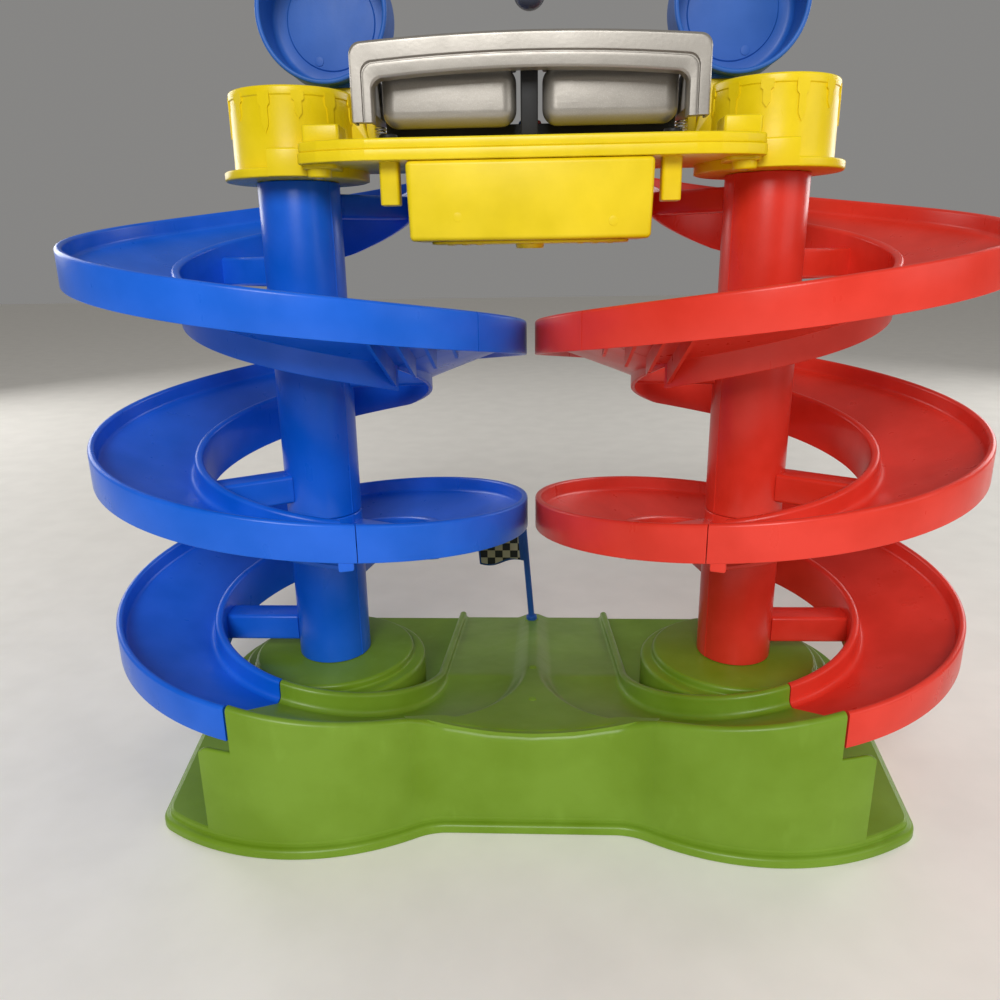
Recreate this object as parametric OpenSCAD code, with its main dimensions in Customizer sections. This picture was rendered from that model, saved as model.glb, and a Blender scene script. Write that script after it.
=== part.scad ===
// Twin spiral car ramp, a free-standing toy: two towers of stacked ramp sections on a
// moulded base, joined at the top by a start deck with a press-down start lever.
// X runs across the towers, -Y is the side with the battery box, +Z is up, in millimetres.

/* [Spiral ramps] */
// Distance between the two tower axes
tower_gap = 275; // [272:1:300]
// Outer radius of a ramp's outer wall
ramp_r = 135; // [125:0.5:136]
// Clear width of a lane between its walls
lane_w = 53.5; // [46:0.5:56]
// Drop of a ramp in one full turn
turn_drop = 112; // [104:1:122]
// Sweep of one ramp section, in degrees
section_arc = 326.5; // [320:0.5:332]
// Azimuth of the lowest ramp end, in degrees from -Y
ramp_end_az = -12; // [-18:1:-6]
// Height of a ramp's outer wall
outer_wall_h = 20.8; // [18:0.2:26]
// Thickness of the outer wall at its rim
outer_rim_t = 4; // [3:0.2:6]
// Thickness of the inner wall at its rim
inner_rim_t = 5.5; // [4:0.5:8]
// Height of the inner rim above the outer wall's lower edge
inner_top = 5; // [2:0.5:9]
// Depth of the inner skirt below the outer wall's lower edge
skirt_depth = 26; // [25:0.5:32]
// Depth of that skirt over the first stretch of a section
shallow_depth = 16; // [14:0.5:20]
// Height of the lane floor at the outer wall
lane_outer_z = 10.5; // [8:0.5:13]
// Rise of the banked lane floor across its width
lane_bank = 19.5; // [12:0.5:22]
// Wall of the ramp mouldings
ramp_wall = 2.6; // [2:0.1:3.4]
// Height left off the rim's corners by its rounding
rim_drop = 1.8; // [1:0.1:2.4]
// Clearance between two ramp sections at their seam
seam_gap = 0.5; // [0.3:0.1:1]

/* [Columns] */
// Outer diameter of a column segment
column_d = 48; // [44:1:54]
// Wall of a column segment
column_wall = 2.6; // [2:0.1:3.4]
// Length of the spigot that joins two segments
spigot_l = 12; // [8:1:16]
// Radial clearance of a spigot in its socket
spigot_gap = 0.2; // [0.1:0.05:0.4]
// Width of an arm between column and ramp
arm_w = 19; // [14:1:24]
// Height of an arm
arm_h = 18; // [12:1:19]
// Height of a section's end above its column foot
end_rise = 10; // [6:0.5:14]

/* [Base] */
// Width of the base over its walls
base_w = 478; // [440:2:520]
// Reach of the lanes behind the tower line
exit_y = 160; // [150:1:190]
// Distance of the front waist from the tower line
waist_y = 110.5; // [104:0.5:118]
// Radius of the hollow curves beside the waist
waist_r = 40; // [25:1:50]
// Height of the column feet above the floor
boss_z = 61.5; // [56:0.5:70]
// Radius of the upper step of a column boss
boss_r = 54; // [44:1:58]
// Radius of the lower step of a column boss
boss_step_r = 62; // [59:0.5:66]
// Height between the two steps
boss_step_h = 5.5; // [3:0.5:8]
// Height of the lanes at the exit, and of the side shelves
exit_z = 10; // [8:0.5:16]
// Height of the lane floor where its straight run starts
straight_z = 40.5; // [34:0.5:44]
// Height of the front wall at the waist
ridge_front_z = 64; // [58:0.5:70]
// Height of the centre ridge on the tower line
ridge_mid_z = 48; // [45:0.5:54]
// Height of the centre ridge above the lanes at the exit
ridge_end_h = 4; // [2:0.5:6]
// Height of the guide rib above the lanes at the exit
rib_end_h = 6; // [3:0.5:8]
// Wall of the base moulding
base_wall = 2.6; // [2:0.1:3.4]
// Width of the bead along the lower edge
bead_w = 4; // [2:0.5:6]
// Height of that bead
bead_h = 6; // [4:0.5:7]
// Radius of the base's corners beside the front wall
corner_r = 14; // [10:1:24]
// Azimuth at which the front wall's foot turns into such a corner, in degrees
corner_az = 33; // [28:0.5:36]
// Radius of the base's corners beside the exits
rear_r = 90; // [60:1:100]
// Height of the stub wall under a ramp's end
stub_z = 64; // [50:1:66]
// Sweep of that stub wall, in degrees
stub_arc = 9; // [6:0.5:12]
// Dip of the lanes' outer walls below the ramps' rim line
wall_dip = 2.8; // [0:0.2:4]

/* [Tower caps and deck] */
// Radius of a tower cap
cap_r = 35.5; // [32:0.5:38]
// Height of a tower cap
cap_h = 47; // [42:1:52]
// Radius of the cap's flange
cap_flange_r = 41.5; // [40:0.5:44]
// Height of that flange
cap_flange_h = 5.3; // [4:0.1:7]
// Wall of the caps, the deck's walls and the box
shell_t = 2.4; // [2:0.1:3]
// Half width of the deck's straight edge
deck_half_w = 85.5; // [84:0.5:88]
// Reach of the deck in front of the tower line
deck_y = 60; // [58:0.5:64]
// Thickness of the deck
deck_t = 11; // [9:0.5:13]
// Clearance of the deck around a cap
cap_gap = 0.45; // [0.3:0.05:0.6]
// Thickness of the sign platforms over the caps
platform_t = 2.4; // [2:0.2:4]

/* [Battery box] */
// Width of the battery box
box_w = 130; // [124:1:134]
// Depth of the battery box
box_d = 50; // [48:0.5:51]
// Height of the battery box
box_h = 40.5; // [38:0.5:46]
// Thickness of the battery door
door_t = 1.6; // [1.2:0.1:2.4]
// Diameter of a battery cell
cell_d = 14; // [13.5:0.1:14.5]
// Length of a battery cell
cell_l = 50; // [48:0.5:50.5]
// Radius of a screw's shank
screw_r = 1.5; // [1.2:0.1:1.8]
// Radius of a screw's head
screw_head_r = 2.8; // [2.4:0.1:3.2]
// Clearance around a screw
screw_gap = 0.1; // [0.05:0.05:0.2]

/* [Launcher] */
// Half width of the start lever
lever_half_w = 89.7; // [89:0.1:92]
// Width of a lever leg
leg_w = 10.5; // [8:0.5:11]
// Height of the lever legs' ends above the deck
lever_gap = 6.5; // [6:0.5:9]
// Height of the lever's bar above the deck
lever_h = 46.5; // [44:0.5:50]
// Height of the bar itself
bar_h = 18; // [14:0.5:20]
// Depth of the bar and the legs
bar_d = 12; // [9:0.5:13]
// Drop of the bar's ends below its middle
bar_sag = 4.5; // [2:0.5:6]
// Position of the lever's pivot behind the tower line
pivot_y = 4; // [2:0.5:6]
// Height of the lever's pivot above the deck
pivot_h = 20; // [17:0.5:23]
// Radius of the lever's pivot pins
pin_r = 2.5; // [2:0.1:3]
// Radius of the pads' axle
axle_r = 2; // [1.6:0.1:2.4]
// Running clearance of a pin or axle, on the radius
run_gap = 0.06; // [0.03:0.01:0.1]
// Width of a launch pad
pad_w = 67.5; // [60:0.5:68]
// Thickness of a launch pad
pad_d = 10; // [7:0.5:11]
// Height of a launch pad's lower edge above the deck
pad_gap = 6; // [5:0.5:9]
// Height of the pads' axle above the deck
axle_h = 37; // [35:0.5:39]
// Width of the post between the pads
post_w = 9; // [6:0.5:10]

/* [Signs and flag] */
// Outer radius of a round sign
sign_r = 36.5; // [32:0.5:38]
// Depth of a round sign's dish
sign_d = 28; // [20:1:32]
// Distance of a sign's centre from the middle plane
sign_x = 114; // [110:0.5:120]
// Radius of the start lamp
lamp_r = 9; // [8:0.5:12]
// Length of the flag pole above the ridge
pole_l = 84; // [70:1:100]
// Radius of the flag pole
pole_r = 2.6; // [2:0.1:3.2]
// Lean of the flag pole, in degrees
pole_lean = 4.5; // [0:0.5:6]
// Length of the flag
flag_l = 40; // [30:1:48]
// Height of the flag
flag_h = 27; // [20:1:32]

/* [Hidden] */
$fn = 96;
eps = 1;

// Ramp sections, counted from the top
levels = 3;
ramp_steps = 54;
tower_x = tower_gap / 2;
section_drop = turn_drop * section_arc / 360;
column_r = column_d / 2;
column_bore_r = column_r - column_wall;
spigot_r = column_bore_r - spigot_gap;
spigot_bore_r = spigot_r - column_wall;
ledge_t = 2 * column_wall;
column_top_z = boss_z + levels * section_drop;
lane_in_r = ramp_r - outer_rim_t - lane_w;
inner_r = lane_in_r - inner_rim_t;
lane_inner_z = lane_outer_z - lane_bank;
// Degrees before a section's end at which its arms stand
arm_backs = [78, 180, 282];
// Depth of an arm's top below the outer wall's lower edge
arm_sink = 6;
// Sweep of the shallow stretch of the skirt
shallow_arc = 25;
// Degrees left off a section's end for the seam
seam_arc = seam_gap / ramp_r * 180 / PI;

// Base
frame_y = (ramp_r - exit_y) / 2;
end_z = boss_z + end_rise;
waist_dx = sqrt(pow(ramp_r + waist_r, 2) - pow(waist_y + waist_r, 2));
join_az = atan2(waist_dx, waist_y + waist_r);
corner_at = [tower_x + (ramp_r - corner_r) * sin(corner_az), -(ramp_r - corner_r) * cos(corner_az)];
rear_at = [base_w / 2 - rear_r, exit_y - rear_r];
// Direction square to the sides, which run from the front corners to the rear ones
side_run = rear_at - corner_at;
side_dir = atan2(side_run[1], side_run[0]) - acos((corner_r - rear_r) / norm(side_run));
join_x = tower_x - ramp_r * sin(join_az);
// Depth by which the tall walls stand inside the foot of the base
wall_set = 0.8;
island_set = 0.3;
// Height of the inner walls' lower edges over the floor
wall_lift = 0.5;
lane_r = ramp_r - wall_set;
lane_end_y = exit_y - 0.5;
// Height of the lanes' ends over the shelf
exit_step = 0.4;
join_y = -ramp_r * cos(join_az);
join_z = edge_z(join_az) + outer_wall_h - wall_dip;
// Sideways rise of the island's hollow top
island_bow = (join_z - ridge_z(join_y)) / (join_x * join_x);
island_half_w = join_x + 6;
lane_steps = 20;
straight_steps = 5;
flag_y = exit_y - 22;
flag_x = -1;
flag_boss_r = pole_r + 3;
peg_l = 12;
// Foot of the flag pole, and the clearance of its seat
pole_foot_r = pole_r + 2;
pole_foot_h = 4;
pole_gap = 0.25;

// Deck
deck_z = column_top_z + cap_flange_h;
deck_top = deck_z + deck_t;
deck_back_y = -ramp_r * cos(start_az(0)) - seam_gap - 0.4;
wing_in_x = tower_x - inner_r + 4.5;
wing_y = pivot_y + 10;
ear_in_x = lever_half_w - 0.4;
ear_t = 5;
cap_top_z = column_top_z + cap_h;
parapet_top = cap_top_z + cap_gap + platform_t;
parapet_d = 10;
end_block_x = tower_x - 23;
end_block_y = -40;
end_block_w = 19;
// Reach of the collars past the tower's axis
collar_x = 8;
end_peg_r = 6.5;
end_peg_h = 4.5;
post_y = -45;
post_r = 6;
post_l = 19.5;

// Battery box
box_y = -deck_y + 1.5;
box_z = deck_z - box_h;
box_post_r = screw_head_r + 1.4;
box_screw_x = box_w / 2 - box_post_r - 0.6;
box_screw_ys = [box_y + box_post_r + 0.6, box_y + box_d - box_post_r - 0.6];
cell_gap = 0.5;
cell_z = box_z + 0.3 + cell_d / 2;
cell_ys = [box_y + box_d / 2 - cell_d / 2 - cell_gap, box_y + box_d / 2 + cell_d / 2 + cell_gap];
contact_t = 0.6;
contact_x = cell_l + cell_gap + 0.2;
cradle_x = contact_x + contact_t;
cradle_t = 1.6;
door_hole_w = 2 * cradle_x - 1;
door_hole_d = 2 * cell_d + 3;
door_lap = 2.5;
door_boss_r = 8;
door_boss_h = 2.5;
board_w = 90;
board_d = 36;
board_t = 1.6;
board_post_r = 2.5;
board_z = deck_z - 18;
speaker_r = 14;
speaker_h = 7;
box_screw_l = 15;
// Clearance of the box around the screw posts, where a wider box reaches them
box_gap = 0.5;

// Launcher
pivot_z = deck_top + pivot_h;
arm_t = 7.7;
arm_out_x = lever_half_w - 1.5;
lever_bottom = deck_top + lever_gap;
lever_top = deck_top + lever_h;
bar_y = -deck_y - 6;
hub_r = pin_r + 5;
pin_head_r = pin_r + 2;
pin_head_t = 1.6;
axle_y = -42;
axle_z = deck_top + axle_h;
knuckle_r = axle_r + 3.2;
pad_in_x = post_w / 2 + 2.3;
pad_bottom = deck_top + pad_gap;
pad_top = axle_z - 2.5;
pad_corner = 8;
pad_front_y = axle_y - 8;
cheek_t = 3;
cheek_x = pad_in_x + pad_w + 1.5;
frame_front_y = axle_y - 5;
frame_back_y = -14;
roof_z = axle_z + knuckle_r + 0.8;
roof_t = 3;
foot_h = 3;
foot_r = 5;
post_x = cheek_x - 0.8;
spring_x = arm_out_x - arm_t / 2;
spring_y = -12;
spring_r = 3;
spring_wire_r = 0.5;
spring_turns = 6;

// Signs and flag
sign_peg_r = 2.5;
sign_peg_l = platform_t - 0.4;
sign_z = parapet_top + 0.2 + sign_r;
sign_front_y = -15;
tab_w = 15;
tab_x = tower_x - 23.5 - tab_w;
gantry_az = 64;
gantry_h = 12;
gantry_d = 9;
gantry_y = sign_front_y + sign_d / 2;
gantry_z = sign_z + sign_r * sin(gantry_az);
lamp_drop = 8.5;
lamp_z = gantry_z - gantry_h / 2 - lamp_drop - lamp_r;
lamp_neck_r = lamp_r / 2;
fit_gap = 0.1;
label_t = 0.3;
flag_t = 2.4;

// Height of the outer wall's lower edge, carried on over the base
function edge_z(az) = end_z - turn_drop * (az - ramp_end_az) / 360;
function foot_z(level) = boss_z + (levels - 1 - level) * section_drop;
function end_az(level) = ramp_end_az + (levels - 1 - level) * (360 - section_arc);
function start_az(level) = end_az(level) - section_arc;
function skirt(s) = s < shallow_arc ? shallow_depth : skirt_depth;
function arc(c, r, a0, a1, n) =
    [for (i = [0:n]) let (a = a0 + (a1 - a0) * i / n) [c[0] + r * cos(a), c[1] + r * sin(a)]];
function flipped(points) = [for (i = [len(points) - 1:-1:0]) [-points[i][0], points[i][1]]];
function blend(a, b, t) = a + (b - a) * t;

// Cross-section of a ramp: radius and height over the outer wall's lower edge
function ramp_profile(depth) = [
    [ramp_r, 0],
    [ramp_r, outer_wall_h - rim_drop],
    [ramp_r - outer_rim_t / 2, outer_wall_h],
    [ramp_r - outer_rim_t, outer_wall_h - rim_drop],
    [ramp_r - outer_rim_t, lane_outer_z],
    [lane_in_r, lane_inner_z],
    [lane_in_r, inner_top - rim_drop],
    [lane_in_r - inner_rim_t / 2, inner_top],
    [inner_r, inner_top - rim_drop],
    [inner_r, -depth],
    [inner_r + ramp_wall, -depth],
    [inner_r + ramp_wall, lane_inner_z - ramp_wall],
    [ramp_r - ramp_wall, lane_outer_z - ramp_wall],
    [ramp_r - ramp_wall, 0]];

// Convex pieces of that cross-section, by its points: outer wall, floor, inner wall
lane_cap = [[1, 2, 3], [1, 3, 4, 12], [0, 1, 12, 13],
    [4, 5, 11, 12],
    [5, 6, 8, 11], [6, 7, 8], [8, 9, 10, 11]];

// Rings of one section, in its column's frame, from its high start to its low end
function ramp_rings(level) = [
    for (i = [0:ramp_steps])
        let (s = i * (section_arc - seam_arc) / ramp_steps, az = start_az(level) + s)
            [for (q = ramp_profile(skirt(s)))
                [q[0] * sin(az), -q[0] * cos(az), q[1] + end_rise + turn_drop * (section_arc - s) / 360]]];

// Top of the island between the lanes
function ridge_z(y) = y < 0
    ? blend(ridge_mid_z, ridge_front_z, -y / waist_y)
    : blend(ridge_mid_z, exit_z + ridge_end_h, y / exit_y);
function island_z(x, y) = ridge_z(y) + (y < 0 ? island_bow * x * x : 0);

// Cross-section of a lane on the base: radius and height over the floor
function lane_profile(wall_z, out_z, in_z, rib_z) = [
    [lane_r, wall_lift],
    [lane_r, wall_z - rim_drop / 2],
    [ramp_r - outer_rim_t / 2, wall_z],
    [ramp_r - outer_rim_t, wall_z - rim_drop / 2],
    [ramp_r - outer_rim_t, out_z],
    [lane_in_r, in_z],
    [lane_in_r, rib_z - rim_drop],
    [lane_in_r - inner_rim_t / 2, rib_z],
    [inner_r, rib_z - rim_drop],
    [inner_r, wall_lift],
    [inner_r + base_wall, wall_lift],
    [inner_r + base_wall, in_z - base_wall],
    [lane_r - base_wall, out_z - base_wall],
    [lane_r - base_wall, wall_lift]];
function lane_wall_z(az) = az < join_az
    ? edge_z(az) + outer_wall_h - wall_dip * (1 - pow((join_az - az) / (join_az - ramp_end_az), 2))
    : island_z(tower_x - ramp_r * sin(az), -ramp_r * cos(az));
function curve_ring(az) =
    let (t = (az - ramp_end_az) / (90 - ramp_end_az),
        mid = blend(edge_z(az) + lane_outer_z - lane_bank / 2, straight_z, t * t),
        half = lane_bank / 2 * (1 - t * t))
    [for (q = lane_profile(lane_wall_z(az), mid + half, mid - half, edge_z(az) + inner_top))
        [q[0] * sin(az), -q[0] * cos(az), q[1]]];
function straight_ring(t) =
    let (z = blend(straight_z, exit_z + exit_step, t),
        rib = blend(edge_z(90) + inner_top, exit_z + rib_end_h, t))
    [for (q = lane_profile(ridge_z(t * exit_y), z, z, rib)) [q[0], t * lane_end_y, q[1]]];
lane_start_az = ramp_end_az + seam_arc;
lane_rings = concat(
    [for (i = [0:lane_steps - 1]) curve_ring(blend(lane_start_az, 90, i / lane_steps))],
    [for (i = [0:straight_steps]) straight_ring(i / straight_steps)]);

// Outline of the base, set out by d
function base_half(d) = concat(
    arc([tower_x - waist_dx, -waist_y - waist_r], waist_r - d, 90, 90 - join_az, 8),
    arc([tower_x, 0], ramp_r + d, 270 - join_az, 268 + corner_az, 16),
    arc(corner_at, corner_r + d, corner_az - 90, side_dir, 8),
    arc(rear_at, rear_r + d, side_dir, 90, 14));
function base_outline(d) = concat(base_half(d), flipped(base_half(d)));

// Shared shapes
module placed() {
    translate([0, frame_y, 0]) children();
}

module twin() {
    children();
    mirror([1, 0, 0]) children();
}

// Solid through a row of rings; cap lists the convex pieces of a ring's end face
module sweep(rings, cap = []) {
    n = len(rings[0]);
    last = (len(rings) - 1) * n;
    sides = [for (i = [0:len(rings) - 2]) for (j = [0:n - 1])
        let (a = i * n + j, b = i * n + (j + 1) % n) each [[a, b, a + n], [b, b + n, a + n]]];
    pieces = len(cap) > 0 ? cap : [[for (j = [0:n - 1]) j]];
    start_cap = [for (piece = pieces) [for (j = [len(piece) - 1:-1:0]) piece[j]]];
    end_cap = [for (piece = pieces) [for (j = piece) last + j]];
    polyhedron(points = [for (r = rings) each r], faces = concat(sides, start_cap, end_cap));
}

module bar_x(r, x0, x1) {
    translate([x0, 0, 0]) rotate([0, 90, 0]) cylinder(r = r, h = x1 - x0);
}

module screw(length) {
    cylinder(r = screw_r, h = length);
    translate([0, 0, -screw_head_r * 0.7]) cylinder(r = screw_head_r, h = screw_head_r * 0.7);
}

module rounded_plate(w, h, r, t) {
    linear_extrude(t) polygon(concat(
        arc([w - r, r], r, -90, 0, 8),
        arc([w - r, h - r], r, 0, 90, 8),
        arc([r, h - r], r, 90, 180, 8),
        arc([r, r], r, 180, 270, 8)));
}

// Ramp sections
module arm(level, back) {
    rotate([0, 0, end_az(level) - back - 90])
        translate([column_r - column_wall / 2, -arm_w / 2,
            end_rise + turn_drop * back / 360 - arm_sink - arm_h])
            cube([inner_r + ramp_wall / 2 - column_r + column_wall / 2, arm_w, arm_h]);
}

module ramp_section(level) {
    translate([-tower_x, 0, foot_z(level)]) difference() {
        union() {
            sweep(ramp_rings(level), lane_cap);
            cylinder(d = column_d, h = section_drop);
            translate([0, 0, section_drop - eps]) cylinder(r = spigot_r, h = spigot_l + eps);
            for (back = arm_backs) arm(level, back);
        }
        translate([0, 0, -eps]) cylinder(r = column_bore_r, h = section_drop - ledge_t + eps);
        translate([0, 0, -eps]) cylinder(r = spigot_bore_r, h = section_drop + spigot_l + 2 * eps);
    }
}

module blue_ramp_upper() {
    color("royalblue") placed() ramp_section(0);
}

module blue_ramp_middle() {
    color("royalblue") placed() ramp_section(1);
}

module blue_ramp_lower() {
    color("royalblue") placed() ramp_section(2);
}

module red_ramp_upper() {
    color("tomato") placed() mirror([1, 0, 0]) ramp_section(0);
}

module red_ramp_middle() {
    color("tomato") placed() mirror([1, 0, 0]) ramp_section(1);
}

module red_ramp_lower() {
    color("tomato") placed() mirror([1, 0, 0]) ramp_section(2);
}

// Base
module under_island(drop) {
    xs = [for (i = [-4:4]) island_half_w * i / 4];
    ys = concat([for (i = [0:5]) blend(-ramp_r, 0, i / 5)], [exit_y + eps]);
    n = len(xs);
    bottom_z = drop > 0 ? -2 * eps : -eps;
    sweep([for (y = ys) concat(
        [[xs[0], y, bottom_z]],
        [[xs[n - 1], y, bottom_z]],
        [for (i = [n - 1:-1:0]) [xs[i], y, island_z(xs[i], y) - drop]])]);
}

module island_plan(front, side) {
    difference() {
        intersection() {
            polygon(base_outline(-front));
            translate([-join_x, -ramp_r]) square([2 * join_x, ramp_r + exit_y]);
        }
        twin() translate([tower_x, 0]) circle(r = ramp_r - side);
        twin() translate([tower_x - ramp_r + side, 0]) square([join_x, exit_y]);
    }
}

module island() {
    difference() {
        intersection() {
            under_island(0);
            linear_extrude(2 * boss_z) island_plan(island_set, outer_rim_t / 3);
        }
        intersection() {
            under_island(base_wall);
            translate([0, 0, -2 * eps]) linear_extrude(2 * boss_z)
                island_plan(island_set + base_wall, 3 * outer_rim_t);
        }
    }
}

module lane_plan() {
    twin() difference() {
        union() {
            translate([-tower_x, 0]) circle(r = ramp_r - base_wall / 2);
            translate([-tower_x, 0]) square([ramp_r - base_wall / 2, exit_y - base_wall]);
        }
        translate([-tower_x, 0]) circle(r = inner_r + base_wall / 2);
        translate([-tower_x, 0]) square([inner_r + base_wall / 2, exit_y]);
        translate([-tower_x, 0]) rotate(ramp_end_az) translate([-2 * ramp_r, -2 * ramp_r])
            square([2 * ramp_r, 4 * ramp_r]);
        translate([-2 * tower_x, 0]) square([tower_x, exit_y]);
    }
}

module shelf() {
    linear_extrude(bead_h) difference() {
        polygon(base_outline(bead_w));
        polygon(base_outline(-base_wall));
    }
    linear_extrude(exit_z) difference() {
        polygon(base_outline(0));
        polygon(base_outline(-base_wall));
    }
    translate([0, 0, exit_z - base_wall]) linear_extrude(base_wall) difference() {
        polygon(base_outline(-base_wall / 2));
        lane_plan();
        island_plan(base_wall / 2, outer_rim_t / 3);
        twin() translate([tower_x, 0]) circle(r = boss_step_r - base_wall / 2);
    }
}

module boss() {
    step_z = boss_z - boss_step_h;
    difference() {
        union() {
            cylinder(r = boss_step_r, h = step_z);
            cylinder(r = boss_r, h = boss_z);
            cylinder(r = spigot_r, h = boss_z + spigot_l);
        }
        translate([0, 0, -eps]) cylinder(r = boss_step_r - base_wall, h = step_z - base_wall + eps);
        translate([0, 0, -eps]) cylinder(r = boss_r - base_wall, h = boss_z - base_wall + eps);
        translate([0, 0, -eps]) cylinder(r = spigot_bore_r, h = boss_z + spigot_l + 2 * eps);
    }
}

module stub_wall() {
    rotate([0, 0, ramp_end_az - 90 - stub_arc])
        rotate_extrude(angle = stub_arc + 1)
            translate([ramp_r - wall_set / 2 - base_wall, 0]) square([base_wall, stub_z]);
}

module base() {
    color("olivedrab") placed() difference() {
        union() {
            shelf();
            island();
            twin() translate([-tower_x, 0, 0]) {
                sweep(lane_rings, lane_cap);
                boss();
                stub_wall();
            }
            translate([flag_x, flag_y, 0]) cylinder(r = flag_boss_r, h = ridge_z(flag_y) - 0.5);
        }
        translate([flag_x, flag_y, ridge_z(flag_y)]) rotate([0, -pole_lean, 0])
            union() {
                translate([0, 0, -peg_l]) cylinder(r = pole_r + pole_gap, h = peg_l + pole_foot_h);
                cylinder(r = pole_foot_r + pole_gap, h = pole_foot_h);
            }
    }
}

// Tower caps
module tower_cap() {
    translate([-tower_x, 0, column_top_z]) difference() {
        union() {
            cylinder(r = cap_flange_r, h = cap_flange_h);
            cylinder(r = cap_r, h = cap_h);
        }
        translate([0, 0, cap_flange_h]) cylinder(r = cap_r - shell_t, h = cap_h - cap_flange_h - shell_t);
        translate([0, 0, -eps]) cylinder(r = column_bore_r, h = cap_flange_h + 2 * eps);
    }
}

module left_tower_cap() {
    color("gold") placed() tower_cap();
}

module right_tower_cap() {
    color("gold") placed() mirror([1, 0, 0]) tower_cap();
}

// Deck
module deck_plan() {
    polygon([
        [0, -deck_y], [deck_half_w, -deck_y], [deck_half_w + 13, -deck_y + 1.6],
        [deck_half_w + 25, -deck_y + 6.5], [tower_x - 15.5, -deck_y + 15],
        [tower_x - 15.5, 0], [tower_x - cap_r, wing_y], [wing_in_x, wing_y],
        [wing_in_x, deck_back_y], [0, deck_back_y]]);
}

module parapet() {
    edge_x = ear_in_x + 0.7;
    translate([0, parapet_d / 2, 0]) rotate([90, 0, 0]) linear_extrude(parapet_d)
        polygon([[edge_x, deck_z], [tab_x + tab_w, deck_z], [tab_x + tab_w, parapet_top],
            [tab_x, parapet_top], [blend(edge_x, tab_x, 0.72), blend(deck_top, parapet_top, 0.7)],
            [blend(edge_x, tab_x, 0.3), blend(deck_top, parapet_top, 0.35)], [edge_x, deck_top + 2]]);
}

module pivot_ear() {
    translate([ear_in_x, 0, 0]) rotate([90, 0, 90]) linear_extrude(ear_t) {
        translate([pivot_y, pivot_z]) circle(r = hub_r);
        translate([pivot_y - hub_r, deck_z]) square([2 * hub_r, pivot_z - deck_z]);
    }
}

module collar() {
    translate([tower_x, 0, deck_z]) intersection() {
        cylinder(r = cap_flange_r, h = deck_t - 2);
        translate([-2 * cap_flange_r, -2 * cap_flange_r, -eps])
            cube([2 * cap_flange_r + collar_x, 4 * cap_flange_r, deck_t + eps]);
    }
}

module deck() {
    color("gold") placed() difference() {
        union() {
            twin() {
                translate([0, 0, deck_z]) linear_extrude(deck_t) deck_plan();
                collar();
                parapet();
                pivot_ear();
                translate([end_block_x - end_block_w / 2, end_block_y - end_block_w / 2, deck_z])
                    cube([end_block_w, end_block_w, deck_t + 12]);
                translate([end_block_x, end_block_y, deck_z - end_peg_h])
                    cylinder(r = end_peg_r, h = end_peg_h + eps);
                translate([post_x, post_y, deck_z - post_l]) cylinder(r = post_r, h = post_l + eps);
            }
            for (x = [-1, 1]) for (y = [-1, 1])
                translate([x * (board_w / 2 - 5), box_y + box_d / 2 + y * (board_d / 2 - 4),
                    board_z + board_t])
                    cylinder(r = board_post_r, h = deck_z - board_z - board_t + eps);
        }
        twin() {
            translate([tower_x, 0, deck_z - eps])
                cylinder(r = cap_r + cap_gap, h = cap_top_z + cap_gap - deck_z + eps);
            translate([tower_x, 0, deck_z - end_peg_h - eps])
                cylinder(r = cap_flange_r + cap_gap, h = end_peg_h + eps);
            translate([0, pivot_y, pivot_z]) bar_x(pin_r + run_gap, ear_in_x - eps, ear_in_x + ear_t + eps);
            translate([tab_x + tab_w / 2, 0, cap_top_z])
                cylinder(r = sign_peg_r + fit_gap, h = platform_t + 2 * eps);
            translate([end_block_x, end_block_y, deck_z - end_peg_h - eps])
                cylinder(r = screw_r + screw_gap, h = end_peg_h + 10 + eps);
            translate([post_x, post_y, deck_z - post_l - eps])
                cylinder(r = screw_r + screw_gap, h = post_l + deck_t + 2 * eps);
            for (y = box_screw_ys) translate([box_screw_x, y, deck_z - eps])
                cylinder(r = screw_r + screw_gap, h = 8 + eps);
        }
    }
}

module deck_screws() {
    color("silver") placed() twin()
        translate([end_block_x, end_block_y, deck_z - end_peg_h]) screw(end_peg_h + 9);
}

// Battery box and its contents
module box_posts(r, z0, z1) {
    for (x = [-1, 1]) for (y = box_screw_ys)
        translate([x * box_screw_x, y, z0]) cylinder(r = r, h = z1 - z0);
}

module battery_box() {
    seat_z = deck_z - 8;
    mid_y = box_y + box_d / 2;
    color("gold") placed() difference() {
        union() {
            difference() {
                translate([-box_w / 2, box_y, box_z]) cube([box_w, box_d, box_h]);
                translate([-box_w / 2 + shell_t, box_y + shell_t, box_z + shell_t])
                    cube([box_w - 2 * shell_t, box_d - 2 * shell_t, box_h]);
            }
            box_posts(box_post_r, box_z, deck_z);
            twin() translate([cradle_x, mid_y - door_hole_d / 2, box_z])
                cube([cradle_t, door_hole_d, cell_d + 4]);
        }
        translate([-door_hole_w / 2, mid_y - door_hole_d / 2, box_z - eps])
            cube([door_hole_w, door_hole_d, shell_t + 2 * eps]);
        twin() translate([post_x, post_y, deck_z - post_l - box_gap])
            cylinder(r = post_r + box_gap, h = post_l + box_gap + eps);
        box_posts(screw_r + screw_gap, box_z - eps, deck_z + eps);
        box_posts(screw_head_r + screw_gap, box_z - eps, seat_z);
    }
}

module box_screws() {
    color("silver") placed() for (x = [-1, 1]) for (y = box_screw_ys)
        translate([x * box_screw_x, y, deck_z - 8]) screw(box_screw_l);
}

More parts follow.
